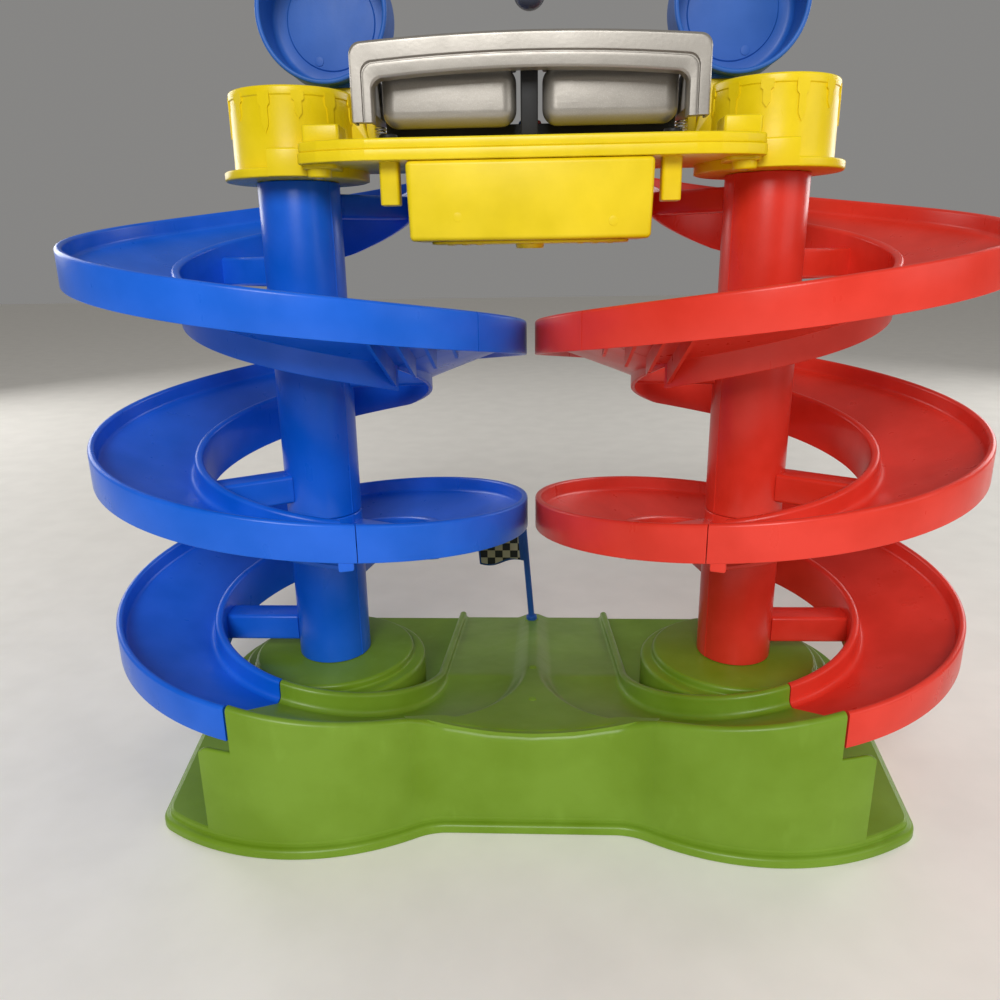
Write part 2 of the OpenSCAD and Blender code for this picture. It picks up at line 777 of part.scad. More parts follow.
module battery_door() {
    mid_y = box_y + box_d / 2;
    w = door_hole_w + 2 * door_lap;
    d = door_hole_d + 2 * door_lap;
    screw_y = mid_y;
    color("gold") placed() difference() {
        union() {
            translate([-w / 2, mid_y - d / 2, box_z - door_t]) cube([w, d, door_t]);
            translate([0, screw_y, box_z - door_t - door_boss_h])
                cylinder(r = door_boss_r, h = door_boss_h + eps);
        }
        translate([0, screw_y, box_z - door_t - door_boss_h - eps])
            cylinder(r = screw_r + screw_gap, h = door_t + door_boss_h + 2 * eps);
        translate([0, screw_y, box_z - door_t - door_boss_h - eps])
            cylinder(r = screw_head_r + screw_gap, h = screw_head_r * 0.7 + eps);
    }
}

module door_screw() {
    color("silver") placed()
        translate([0, box_y + box_d / 2, box_z - door_t - door_boss_h + screw_head_r * 0.7])
            screw(door_boss_h + door_t - screw_head_r * 0.7 + 0.2);
}

module battery_cells() {
    color("dimgray") placed() twin() for (y = cell_ys)
        translate([0, y, cell_z]) bar_x(cell_d / 2, cell_gap, cell_gap + cell_l);
}

module contact_plates() {
    color("silver") placed() twin() for (y = cell_ys)
        translate([contact_x, y - cell_d / 2 + 1, box_z + shell_t + 0.3])
            cube([contact_t - 0.1, cell_d - 2, cell_d - shell_t]);
}

module circuit_board() {
    color("darkgreen") placed()
        translate([-board_w / 2, box_y + box_d / 2 - board_d / 2, board_z]) cube([board_w, board_d, board_t]);
}

module speaker() {
    color("dimgray") placed() translate([0, box_y + box_d / 2, board_z + board_t]) difference() {
        union() {
            cylinder(r = speaker_r, h = 2);
            cylinder(r = speaker_r * 0.55, h = speaker_h);
        }
        translate([0, 0, speaker_h - 1.5]) cylinder(r = speaker_r * 0.25, h = 2);
    }
}

// Launcher
module launcher_frame() {
    w = cheek_x + cheek_t;
    depth = frame_back_y - frame_front_y;
    color("dimgray") placed() difference() {
        union() {
            twin() translate([cheek_x, frame_front_y, deck_top])
                cube([cheek_t, depth, roof_z + roof_t - deck_top]);
            translate([-post_w / 2, frame_front_y, deck_top]) cube([post_w, depth, roof_z - deck_top + eps]);
            translate([-w, frame_front_y, roof_z]) cube([2 * w, depth, roof_t]);
            twin() translate([post_x, post_y, deck_top]) cylinder(r = foot_r, h = foot_h);
        }
        translate([0, axle_y, axle_z]) bar_x(axle_r + run_gap, -w - eps, w + eps);
        twin() translate([post_x, post_y, deck_top - eps])
            cylinder(r = screw_r + screw_gap, h = foot_h + 2 * eps);
    }
}

module launcher_screws() {
    color("silver") placed() twin() translate([post_x, post_y, deck_z - post_l])
        screw(post_l + deck_t + foot_h - 0.5);
}

module pad_axle() {
    w = cheek_x + cheek_t;
    color("silver") placed() translate([0, axle_y, axle_z]) bar_x(axle_r, -w, w);
}

module launch_pad() {
    difference() {
        union() {
            translate([pad_in_x, pad_front_y + pad_d, pad_bottom]) rotate([90, 0, 0])
                rounded_plate(pad_w, pad_top - pad_bottom, pad_corner, pad_d);
            translate([0, axle_y, axle_z]) bar_x(knuckle_r, pad_in_x, pad_in_x + pad_w);
            translate([pad_in_x + pad_corner, axle_y - knuckle_r + 1, pad_top - 3])
                cube([pad_w - 2 * pad_corner, 2 * knuckle_r - 4, 4]);
        }
        translate([0, axle_y, axle_z]) bar_x(axle_r + run_gap, pad_in_x - eps, pad_in_x + pad_w + eps);
    }
}

module left_launch_pad() {
    color("lightgray") placed() mirror([1, 0, 0]) launch_pad();
}

module right_launch_pad() {
    color("lightgray") placed() launch_pad();
}

// Cross-section of the lever's bar: depth and height under its top
function bar_section() = [
    [0, -bar_h], [0, -bar_h * 0.52], [1.6, -bar_h * 0.46], [1.6, -2.5], [4, 0], [bar_d, 0],
    [bar_d, -shell_t], [bar_d - 6, -shell_t], [1.6 + shell_t, -5],
    [1.6 + shell_t, -bar_h * 0.5], [shell_t, -bar_h * 0.56], [shell_t, -bar_h + shell_t],
    [bar_d, -bar_h + shell_t], [bar_d, -bar_h]];

// The bar, bowed upwards between its ends
module lever_bar() {
    half_w = lever_half_w - 0.5;
    bow_r = (half_w * half_w + bar_sag * bar_sag) / (2 * bar_sag);
    bow_arc = 2 * asin(half_w / bow_r);
    translate([0, bar_y, lever_top - bow_r]) rotate([-90, 0, 0]) rotate([0, 0, -90 - bow_arc / 2])
        rotate_extrude(angle = bow_arc, $fn = 720)
            polygon([for (q = bar_section()) [bow_r + q[1], q[0]]]);
}

module lever_side() {
    leg_top = lever_top - bar_sag - 3;
    translate([lever_half_w - leg_w, bar_y + 1, lever_bottom])
        cube([leg_w, bar_d - 1.8, leg_top - lever_bottom]);
    translate([arm_out_x - arm_t, 0, 0]) rotate([90, 0, 90]) linear_extrude(arm_t) {
        translate([pivot_y, pivot_z]) circle(r = hub_r);
        polygon([[bar_y + bar_d - 3, lever_bottom + 6], [pivot_y, pivot_z - hub_r],
            [pivot_y, pivot_z + hub_r], [bar_y + bar_d - 3, leg_top - 4]]);
    }
}

module start_lever() {
    color("lightgray") placed() difference() {
        union() {
            lever_bar();
            twin() lever_side();
        }
        twin() translate([0, pivot_y, pivot_z])
            bar_x(pin_r + run_gap, arm_out_x - arm_t - eps, arm_out_x + eps);
    }
}

module lever_pins() {
    inner_x = arm_out_x - arm_t - 0.3;
    color("silver") placed() twin() translate([0, pivot_y, pivot_z]) {
        bar_x(pin_r, inner_x - eps / 2, ear_in_x + ear_t);
        bar_x(pin_head_r, inner_x - pin_head_t, inner_x);
    }
}

// Return springs under the lever's arms, wound between the deck and the arm
function spring_ring(t, height) =
    let (a = 360 * spring_turns * t, z = spring_wire_r + (height - 2 * spring_wire_r) * t)
    [for (k = [0:5]) let (r = spring_r + spring_wire_r * cos(60 * k))
        [r * cos(a), r * sin(a), z + spring_wire_r * sin(60 * k)]];
spring_steps = 8 * spring_turns;

function arm_under_z(y) =
    let (y0 = bar_y + bar_d - 3, z0 = lever_bottom + 6, z1 = pivot_z - hub_r)
    blend(z0, z1, (y - y0) / (pivot_y - y0));

module lever_springs() {
    height = arm_under_z(spring_y) - deck_top - 0.7;
    color("silver") placed() for (side = [-1, 1])
        translate([side * spring_x, spring_y, deck_top + 0.1])
            sweep([for (i = [0:spring_steps]) spring_ring(i / spring_steps, height)]);
}

// Signs over the deck
module sign() {
    difference() {
        union() {
            translate([sign_x, sign_front_y + sign_d, sign_z]) rotate([90, 0, 0])
                cylinder(r = sign_r, h = sign_d);
            translate([tab_x, -parapet_d / 2, parapet_top]) cube([tab_w, parapet_d, 12]);
            translate([tab_x + tab_w / 2, 0, parapet_top - sign_peg_l])
                cylinder(r = sign_peg_r, h = sign_peg_l + 1);
        }
        translate([sign_x, sign_front_y + sign_d - shell_t, sign_z]) rotate([90, 0, 0])
            cylinder(r = sign_r - shell_t, h = sign_d);
        translate([sign_x, gantry_y, sign_z]) rotate([0, gantry_az - 90, 0])
            cylinder(r = sign_peg_r + fit_gap, h = sign_r + 2 * eps);
    }
}

module left_sign() {
    color("cornflowerblue") placed() mirror([1, 0, 0]) sign();
}

module right_sign() {
    color("cornflowerblue") placed() sign();
}

module gantry_bar() {
    end_x = sign_x - sign_r * cos(gantry_az);
    color("cornflowerblue") placed() difference() {
        translate([-end_x - 4, gantry_y - gantry_d / 2, gantry_z - gantry_h / 2])
            cube([2 * end_x + 8, gantry_d, gantry_h]);
        twin() translate([sign_x, gantry_y + gantry_d, sign_z]) rotate([90, 0, 0])
            cylinder(r = sign_r + fit_gap, h = 2 * gantry_d);
        translate([0, gantry_y, gantry_z - gantry_h / 2 - eps])
            cylinder(r = sign_peg_r + fit_gap, h = 7 + eps);
    }
    color("cornflowerblue") placed() twin() translate([sign_x, gantry_y, sign_z])
        rotate([0, gantry_az - 90, 0]) translate([0, 0, sign_r - shell_t + 0.2])
            cylinder(r = sign_peg_r, h = shell_t + 2);
}

module start_lamp() {
    color("slategray") placed() translate([0, gantry_y, lamp_z]) {
        sphere(r = lamp_r);
        cylinder(r = lamp_neck_r, h = gantry_z - gantry_h / 2 - lamp_z);
        cylinder(r = sign_peg_r, h = gantry_z - gantry_h / 2 - lamp_z + 6);
    }
}

// Flag on the ridge between the exits
module flag_stance() {
    translate([flag_x, flag_y, ridge_z(flag_y)]) rotate([0, -pole_lean, 0]) children();
}

module flag_plan(inset) {
    z1 = pole_l - 2 - inset;
    z0 = z1 - flag_h + 2 * inset;
    x0 = -pole_r - 1 - inset;
    x1 = -flag_l + inset;
    wave = 2;
    lower = [for (i = [0:8]) [blend(x0, x1, i / 8), z0 + wave * sin(360 * i / 8)]];
    upper = [for (i = [8:-1:0]) [blend(x0, x1, i / 8), z1 + wave * sin(360 * i / 8)]];
    polygon(concat(lower, upper));
}

module flag() {
    color("steelblue") placed() flag_stance() {
        translate([0, 0, -peg_l + 1]) cylinder(r = pole_r, h = pole_l + peg_l - 1);
        cylinder(r = pole_foot_r, h = pole_foot_h);
        translate([0, flag_t / 2, 0]) rotate([90, 0, 0]) linear_extrude(flag_t) {
            flag_plan(0);
            translate([-pole_r - 2, pole_l - flag_h]) square([pole_r + 1, flag_h - 4]);
        }
    }
}

module flag_labels() {
    color("lightyellow") placed() flag_stance() for (y = [-flag_t / 2, flag_t / 2 + label_t])
        translate([0, y, 0]) rotate([90, 0, 0]) linear_extrude(label_t) flag_plan(1.6);
}

base();
blue_ramp_upper();
blue_ramp_middle();
blue_ramp_lower();
red_ramp_upper();
red_ramp_middle();
red_ramp_lower();
left_tower_cap();
right_tower_cap();
deck();
deck_screws();
battery_box();
box_screws();
battery_door();
door_screw();
battery_cells();
contact_plates();
circuit_board();
speaker();
launcher_frame();
launcher_screws();
pad_axle();
left_launch_pad();
right_launch_pad();
start_lever();
lever_pins();
lever_springs();
left_sign();
right_sign();
gantry_bar();
start_lamp();
flag();
flag_labels();
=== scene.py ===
import math
from types import SimpleNamespace

import bmesh
import bpy
from mathutils import Matrix, Vector
from mathutils.geometry import delaunay_2d_cdt


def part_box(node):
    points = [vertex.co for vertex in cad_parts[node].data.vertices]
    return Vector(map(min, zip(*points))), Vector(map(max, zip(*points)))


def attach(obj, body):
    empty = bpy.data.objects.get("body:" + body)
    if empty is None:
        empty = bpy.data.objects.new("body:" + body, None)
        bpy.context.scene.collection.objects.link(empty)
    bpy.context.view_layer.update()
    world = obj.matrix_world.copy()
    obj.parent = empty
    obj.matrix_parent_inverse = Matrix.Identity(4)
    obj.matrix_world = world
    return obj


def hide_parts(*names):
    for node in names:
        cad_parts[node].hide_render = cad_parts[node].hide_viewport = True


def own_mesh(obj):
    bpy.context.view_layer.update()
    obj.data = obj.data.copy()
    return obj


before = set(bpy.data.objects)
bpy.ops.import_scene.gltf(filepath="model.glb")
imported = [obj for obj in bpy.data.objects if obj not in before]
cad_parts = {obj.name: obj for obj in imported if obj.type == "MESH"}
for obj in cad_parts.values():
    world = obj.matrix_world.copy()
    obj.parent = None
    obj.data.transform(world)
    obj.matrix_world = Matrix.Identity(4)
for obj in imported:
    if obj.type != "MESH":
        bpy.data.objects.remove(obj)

bl_info = {
    "name": "Toy spiral car ramp",
    "version": (1, 0, 0),
    "blender": (4, 5, 0),
    "location": "View3D > Sidebar > Car Ramp",
    "description": "Visual pieces of a twin spiral toy car ramp over its CAD frame",
    "category": "Object",
}

MM = 0.001
# Degrees between two faces from which their edge stays sharp
SHARP = 40


def length(name, description, mm):
    return bpy.props.FloatProperty(name=name, description=description, default=mm * MM, unit="LENGTH")


def angle(name, description, degrees):
    return bpy.props.FloatProperty(
        name=name, description=description, default=math.radians(degrees), unit="ROTATION"
    )


def colour(name, description, red, green, blue):
    linear = [pow((c / 255 + 0.055) / 1.055, 2.4) for c in (red, green, blue)]
    return bpy.props.FloatVectorProperty(
        name=name, description=description, subtype="COLOR", size=3, min=0, max=1, default=linear
    )


def amount(name, description, value):
    return bpy.props.FloatProperty(name=name, description=description, default=value, min=0)


class RampSizes(bpy.types.PropertyGroup):
    tower_x: length("Tower offset", "Distance of a tower's axis from the middle plane", 137.5)
    tower_y: length("Tower line", "Position of the towers' line along Y", -12.5)
    ramp_r: length("Ramp radius", "Outer radius of a ramp", 135)
    outer_rim: length("Outer rim", "Thickness of the outer wall's rim", 4)
    lane_in_r: length("Lane inner radius", "Radius at the lane's inner edge", 77.5)
    inner_r: length("Inner radius", "Radius of the skirt's inner face", 72)
    outer_wall: length("Outer wall", "Height of the outer wall", 20.8)
    lane_outer: length("Lane outside", "Height of the lane at its outer edge", 10.5)
    lane_inner: length("Lane inside", "Height of the lane at its inner edge", -9)
    inner_top: length("Inner rim", "Height of the inner rim", 5)
    skirt: length("Skirt", "Depth of the skirt", 26)
    shallow_skirt: length("Shallow skirt", "Depth of the skirt at a section's start", 13.5)
    rim_dip: length("Rim dip", "Dip of the inner rim at a section's start", 7)
    skirt_growth: angle("Skirt growth", "Sweep in which the skirt reaches its full depth", 80)
    rim_growth: angle("Rim growth", "Sweep in which the inner rim reaches its full height", 150)
    wall: length("Wall", "Thickness of the moulding", 2.6)
    turn_drop: length("Drop", "Drop of the lane in one turn", 112)
    section_arc: angle("Section arc", "Sweep of one section", 326.5)
    end_az: angle("Ramp end", "Azimuth of the lowest section's end", -12)
    end_rise: length("End rise", "Height of a section's end over its column's foot", 10)
    boss_z: length("Column foot", "Height of the lowest column's foot", 61.5)
    column_r: length("Column radius", "Radius of a column", 24)
    arm_w: length("Arm width", "Width of an arm", 19)
    arm_h: length("Arm height", "Height of an arm", 18)
    arm_sink: length("Arm sink", "Depth of an arm's top under the outer edge", 6)
    first_arm_h: length("First arm height", "Height of the arm near a section's start", 14)
    first_arm_sink: length("First arm sink", "Depth of that arm's top under the outer edge", 2)
    steps: bpy.props.IntProperty(
        name="Steps", description="Rings along one section", default=132, min=12
    )


class BaseSizes(bpy.types.PropertyGroup):
    width: length("Width", "Width of the base without its bead", 478)
    exit_y: length("Exit", "Reach of the lanes behind the towers' line", 160)
    waist_y: length("Waist", "Distance of the front wall's waist from the towers' line", 110.5)
    waist_r: length("Waist fillet", "Radius beside the waist", 40)
    corner_r: length("Corner radius", "Radius of a front corner", 14)
    corner_az: angle("Corner azimuth", "Where the front wall's foot turns into a corner", 33)
    rear_r: length("Rear radius", "Radius of a rear corner", 90)
    bead_w: length("Bead width", "Reach of the bead along the floor", 4)
    bead_h: length("Bead height", "Height of the bead", 6)
    shelf_z: length("Shelf", "Height of the side shelves", 10)
    boss_r: length("Boss radius", "Radius of a column boss", 54)
    step_r: length("Step radius", "Radius of the step round a boss", 62)
    step_z: length("Step height", "Height of that step", 56)
    ridge_front: length("Ridge front", "Height of the island at the waist", 64)
    ridge_mid: length("Ridge middle", "Height of the island on the towers' line", 48)
    ridge_end: length("Ridge end", "Height of the island at the exits", 14)
    straight_z: length("Straight lane", "Height of a lane where it turns straight", 40.5)
    stub_z: length("Stub wall", "Height of the wall beyond the ramp's end", 64)
    stub_arc: angle("Stub arc", "Sweep of that wall", 9)
    wall_dip: length("Wall dip", "Dip of the lanes' outer walls below the ramps' rim line", 2.8)
    rim_round: length("Rim rounding", "Rounding of the lanes' outer rims", 2.9)
    front_round: length("Front rounding", "Rounding of the front wall's top", 6)


class DeckSizes(bpy.types.PropertyGroup):
    low_z: length("Underside", "Height of the deck's underside", 371.533)
    thick: length("Thickness", "Thickness of the deck", 11)
    half_w: length("Half width", "Half width of the deck's straight edge", 85.5)
    reach: length("Reach", "Reach of the deck in front of the towers", 60)
    cap_r: length("Cap radius", "Radius of a tower cap", 35.5)
    cap_h: length("Cap height", "Height of a tower cap", 47)
    flange_r: length("Flange radius", "Radius of a cap's flange", 41.5)
    flange_h: length("Flange height", "Height of that flange", 5.3)
    tongue_w: length("Tongue width", "Width of a tongue on the caps", 6.8)
    tongue_l: length("Tongue length", "Length of a long tongue on the caps", 21)
    parapet_z: length("Parapet", "Height of the parapets' tops", 416.083)
    block_x: length("Block X", "Centre of an end block across", 110.6)
    block_y: length("Block Y", "Centre of an end block in front of the towers", -40)
    peg_x: length("Peg X", "Centre of the peg under a deck's end", 114.5)
    post_x: length("Post X", "Centre of a screw post across", 75)
    post_y: length("Post Y", "Centre of a screw post in front of the towers", -45)
    post_l: length("Post length", "Length of a screw post", 19.5)
    peg_l: length("Peg length", "Length of a deck end's peg", 4.5)
    box_draft: length("Box draft", "Narrowing of the battery box at its lower edge", 0.9)


class LauncherSizes(bpy.types.PropertyGroup):
    half_w: length("Lever half width", "Half width of the start lever", 89.7)
    leg_w: length("Leg width", "Width of a lever leg", 10.5)
    low_z: length("Leg end", "Height of the lever legs' ends", 389.033)
    top_z: length("Bar top", "Height of the lever's bar", 429.033)
    bar_h: length("Bar height", "Height of the bar's face", 16.4)
    bar_y: length("Bar front", "Front of the bar", -66)
    bar_d: length("Bar depth", "Depth of the bar", 12)
    sag: length("Sag", "Drop of the bar's ends", 3.2)
    pivot_y: length("Pivot Y", "Position of the lever's pivot", 4)
    pivot_z: length("Pivot Z", "Height of the lever's pivot", 402.533)
    hub_r: length("Hub", "Radius of the lever's hubs", 7.5)
    pad_round: length("Pad rounding", "Rounding of a pad's face", 7.4)
    pad_flare: length("Pad flare", "Reach of a pad past its knuckle, over the cheek", 3.1)
    pad_corner: length("Pad corner", "Corner radius of a pad", 8)


class SignSizes(bpy.types.PropertyGroup):
    sign_x: length("Sign X", "Centre of a sign across", 114)
    sign_z: length("Sign Z", "Height of a sign's centre", 452.783)
    sign_r: length("Sign radius", "Radius of a sign", 36.5)
    front_y: length("Sign front", "Open rim of a sign", -15)
    depth: length("Sign depth", "Depth of a sign", 28)
    wall: length("Sign wall", "Thickness of a sign", 2.4)
    flag_x: length("Flag X", "Foot of the flag pole across", -1)
    flag_y: length("Flag Y", "Foot of the flag pole behind the towers", 138)
    pole_r: length("Pole radius", "Radius of the flag pole", 2.6)
    pole_l: length("Pole length", "Length of the flag pole", 84)
    pole_lean: angle("Pole lean", "Lean of the pole", 4.5)
    flag_l: length("Flag length", "Length of the flag", 40)
    flag_h: length("Flag height", "Height of the flag", 27)
    flag_t: length("Flag thickness", "Thickness of the flag", 2.4)
    check: length("Check", "Side of a square on the flag", 6.4)


class Finish(bpy.types.PropertyGroup):
    blue: colour("Blue", "Ramps on the left", 6, 96, 214)
    red: colour("Red", "Ramps on the right", 222, 52, 34)
    green: colour("Green", "Base", 112, 146, 28)
    yellow: colour("Yellow", "Deck, caps and battery box", 236, 208, 4)
    silver: colour("Silver", "Lever and pads", 150, 145, 137)
    black: colour("Black", "Launcher frame", 12, 12, 13)
    sign_blue: colour("Sign blue", "Round signs and their bar", 34, 92, 176)
    slate: colour("Slate", "Start lamp", 78, 82, 98)
    flag_blue: colour("Flag blue", "Flag and pole", 34, 88, 172)
    grain: amount("Grain", "Depth of the surface grain", 0.06)
    mottle: amount("Mottle", "Strength of the colour's unevenness", 0.09)


class Stage(bpy.types.PropertyGroup):
    camera_x: length("Camera X", "Camera across", 3.3)
    camera_y: length("Camera Y", "Camera in front", -525.2)
    camera_z: length("Camera Z", "Camera height", 324)
    yaw: angle("Yaw", "Turn of the camera to the left", 2.68)
    pitch: angle("Pitch", "Tilt of the camera downwards", 16.79)
    roll: angle("Roll", "Roll of the camera", 0.9)
    lens: amount("Lens", "Focal length in millimetres on a 36 mm sensor", 29.33)
    floor: colour("Floor", "Floor", 248, 244, 236)
    key: amount("Key light", "Power of the light over the front, in watts", 37)
    fill: amount("Fill light", "Power of the light from the right, in watts", 3)
    rear: amount("Rear light", "Power of each light from behind, in watts", 8)
    world: amount("World", "Strength of the light from all round", 0.24)


def plain(group):
    """The group's values, with lengths in millimetres and angles in degrees."""
    values = {}
    for prop in group.bl_rna.properties:
        if prop.identifier in ("rna_type", "name"):
            continue
        value = getattr(group, prop.identifier)
        if prop.type == "FLOAT" and prop.unit == "LENGTH":
            value /= MM
        elif prop.type == "FLOAT" and prop.unit == "ROTATION":
            value = math.degrees(value)
        values[prop.identifier] = value
    return SimpleNamespace(**values)


def cad_box(node):
    """Corners of a CAD node in millimetres, measured from the towers' line."""
    tower_y = bpy.context.scene.ramptoy_ramps.tower_y
    low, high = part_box(node)
    return [
        Vector((corner[0], corner[1] - tower_y, corner[2])) / MM for corner in (low, high)
    ]


# Outlines

def fillet(points, radii, steps=4, closed=True):
    """A line with its corners rounded; every corner gives the same count of points."""
    made = []
    count = len(points)
    for i, point in enumerate(points):
        radius = radii[i] if isinstance(radii, (list, tuple)) else radii
        here = Vector(point)
        if not closed and i in (0, count - 1):
            made.append(tuple(here))
            continue
        back = Vector(points[i - 1]) - here
        ahead = Vector(points[(i + 1) % count]) - here
        reach = min(back.length, ahead.length) * 0.48
        back.normalize()
        ahead.normalize()
        half = back.angle(ahead) / 2
        if radius <= 0 or half > math.radians(89):
            made.extend([tuple(here)] * (steps + 1))
            continue
        cut = min(radius / math.tan(half), reach)
        radius = cut * math.tan(half)
        centre = here + (back + ahead).normalized() * (radius / math.sin(half))
        start = here + back * cut - centre
        end = here + ahead * cut - centre
        first = math.atan2(start.y, start.x)
        turn = (math.atan2(end.y, end.x) - first + math.pi) % (2 * math.pi) - math.pi
        for k in range(steps + 1):
            a = first + turn * k / steps
            made.append((centre.x + radius * math.cos(a), centre.y + radius * math.sin(a)))
    return made


def inset(outline, distance):
    """A counterclockwise outline moved inwards."""
    made = []
    count = len(outline)
    for i, (x, y) in enumerate(outline):
        normals = []
        for a, b in ((outline[i - 1], (x, y)), ((x, y), outline[(i + 1) % count])):
            edge = Vector((b[0] - a[0], b[1] - a[1]))
            if edge.length > 1e-6:
                edge.normalize()
                normals.append(Vector((-edge.y, edge.x)))
        normal = sum(normals, Vector((0, 0)))
        if normal.length < 1e-6:
            made.append((x, y))
            continue
        normal.normalize()
        reach = max(normal.dot(normals[0]), 0.3)
        made.append((x + normal.x * distance / reach, y + normal.y * distance / reach))
    return made


def arc(centre, radius, first, last, steps):
    """Points on a circle between two angles in degrees."""
    made = []
    for i in range(steps + 1):
        a = math.radians(first + (last - first) * i / steps)
        made.append((centre[0] + radius * math.cos(a), centre[1] + radius * math.sin(a)))
    return made


def rectangle(x0, y0, x1, y1, radius, steps=4):
    return fillet([(x0, y0), (x1, y0), (x1, y1), (x0, y1)], radius, steps)


def mirrored(half):
    """The right half of an outline with its mirror image, in one run."""
    return half + [(-x, y) for x, y in reversed(half)]


def swung(section, turn, x):
    """A section of radii and heights, turned about a tower at x."""
    return [(x + q * math.sin(turn), -q * math.cos(turn), z) for q, z in section]


def contains(loop, point):
    """Whether a closed line runs round a point."""
    inside = False
    for i, (x, y) in enumerate(loop):
        before = loop[i - 1]
        if (y > point[1]) != (before[1] > point[1]):
            if point[0] < x + (before[0] - x) * (point[1] - y) / (before[1] - y):
                inside = not inside
    return inside


def mix(a, b, t):
    return a + (b - a) * t


def ease(t):
    t = min(1, max(0, t))
    return t * t * (3 - 2 * t)


# Places: where a plate's or a turned profile's own axes lie

def level(x=0, y=0, z=0):
    return lambda u, v, d: (x + u, y + v, z + d)


def upright(u, v, d):
    return (u, d, v)


def sideways(u, v, d):
    return (d, u, v)


def outward(u, v, d):
    return (u, -d, v)


def along_y(x, z):
    return lambda u, v, d: (x + u, d, z + v)


def along_x(y, z):
    return lambda u, v, d: (d, y + u, z + v)


class Shell:
    """Points and faces of a piece, in millimetres from the middle of the towers' line."""

    def __init__(self):
        self.points = []
        self.faces = []

    def skin(self, rings, loop=False):
        """Join equal rings by quads; a row that doesn't close is capped at both ends."""
        base = len(self.points)
        size = len(rings[0])
        count = len(rings)
        for ring in rings:
            self.points.extend(ring)
        for i in range(count if loop else count - 1):
            a = base + i * size
            b = base + (i + 1) % count * size
            for j in range(size):
                k = (j + 1) % size
                self.faces.append((a + j, a + k, b + k, b + j))
        if not loop:
            last = base + (count - 1) * size
            self.faces.append(tuple(base + j for j in reversed(range(size))))
            self.faces.append(tuple(last + j for j in range(size)))

    def slab(self, outline, low, high, edge=0.8, place=level(), draft=0.0, steps=3):
        """A plate with rounded edges, narrower by draft at its low side."""
        rings = []
        for k in range(steps + 1):
            a = math.pi / 2 * k / steps
            rings.append((edge * (1 - math.sin(a)) + draft, low + edge * (1 - math.cos(a))))
        for k in range(steps + 1):
            a = math.pi / 2 * (1 - k / steps)
            rings.append((edge * (1 - math.sin(a)), high - edge * (1 - math.cos(a))))
        self.skin([[place(u, v, d) for u, v in inset(outline, gap)] for gap, d in rings])

    def block(self, low, high, edge=1.0, corner=1.5):
        """A rounded box between two corners."""
        outline = rectangle(low[0], low[1], high[0], high[1], corner)
        self.slab(outline, low[2], high[2], edge)

    def turn(self, profile, place=level(), steps=72, loop=False):
        """A profile of radii and heights turned about its axis."""
        angles = [2 * math.pi * i / steps for i in range(steps)]
        self.skin(
            [[place(r * math.cos(a), r * math.sin(a), h) for a in angles] for r, h in profile], loop
        )

    def sheet(self, loops, low, high):
        """A flat plate inside the first loop, with the other loops as holes."""
        flat = []
        edges = []
        for loop in loops:
            first = len(flat)
            flat += [Vector(point) for point in loop]
            edges += [(first + i, first + (i + 1) % len(loop)) for i in range(len(loop))]
        spots, _, faces, *_ = delaunay_2d_cdt(flat, edges, [], 0, 1e-6)
        base = len(self.points)
        count = len(spots)
        self.points += [(p.x, p.y, high) for p in spots] + [(p.x, p.y, low) for p in spots]
        sides = set()
        for face in faces:
            middle = sum((spots[i] for i in face), Vector((0, 0))) / len(face)
            if sum(contains(loop, middle) for loop in loops) != 1:
                continue
            self.faces.append(tuple(base + i for i in face))
            self.faces.append(tuple(base + count + i for i in reversed(face)))
            for a, b in zip(face, face[1:] + face[:1]):
                if (b, a) in sides:
                    sides.remove((b, a))
                else:
                    sides.add((a, b))
        for a, b in sides:
            self.faces.append((base + a, base + count + a, base + count + b, base + b))

    def take(self, mesh):
        """Add a mesh's points and faces."""
        base = len(self.points)
        self.points.extend(tuple(v.co) for v in mesh.vertices)
        self.faces.extend(tuple(base + i for i in p.vertices) for p in mesh.polygons)

    def add(self, other, mirror=False, shift=(0, 0, 0)):
        """Add another shell, shifted and then mirrored in the middle plane if asked."""
        base = len(self.points)
        side = -1 if mirror else 1
        for x, y, z in other.points:
            self.points.append((side * (x + shift[0]), y + shift[1], z + shift[2]))
        self.faces.extend(tuple(base + i for i in face) for face in other.faces)

    def tilt(self, matrix):
        self.points = [tuple(matrix @ Vector(p)) for p in self.points]


def twin(half):
    """A shell with its mirror image."""
    shell = Shell()
    shell.add(half)
    shell.add(half, mirror=True)
    return shell


def rounded_rod(radius, low, high, edge):
    """Profile of a turned rod with rounded ends."""
    return fillet(
        [(0.2, low), (radius, low), (radius, high), (0.2, high)], edge, closed=False
    )


def finish_piece(name, shell, material, body, nodes):
    """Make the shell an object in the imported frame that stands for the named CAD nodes."""
    tower_y = bpy.context.scene.ramptoy_ramps.tower_y
    mesh = bpy.data.meshes.new(name)
    mesh.from_pydata([(x * MM, y * MM + tower_y, z * MM) for x, y, z in shell.points], [], shell.faces)
    work = bmesh.new()
    work.from_mesh(mesh)
    bmesh.ops.remove_doubles(work, verts=work.verts, dist=2e-6)
    bmesh.ops.dissolve_degenerate(work, edges=work.edges, dist=1e-6)
    open_edges = [edge for edge in work.edges if edge.is_boundary]
    if open_edges:
        bmesh.ops.holes_fill(work, edges=open_edges, sides=0)
    bmesh.ops.recalc_face_normals(work, faces=work.faces)
    work.to_mesh(mesh)
    work.free()
    mesh.polygons.foreach_set("use_smooth", [True] * len(mesh.polygons))
    mesh.set_sharp_from_angle(angle=math.radians(SHARP))
    mesh.materials.append(material)
    obj = bpy.data.objects.new(name, mesh)
    bpy.context.scene.collection.objects.link(obj)
    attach(obj, body)
    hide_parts(*nodes)
    return obj


# Geometry node trees

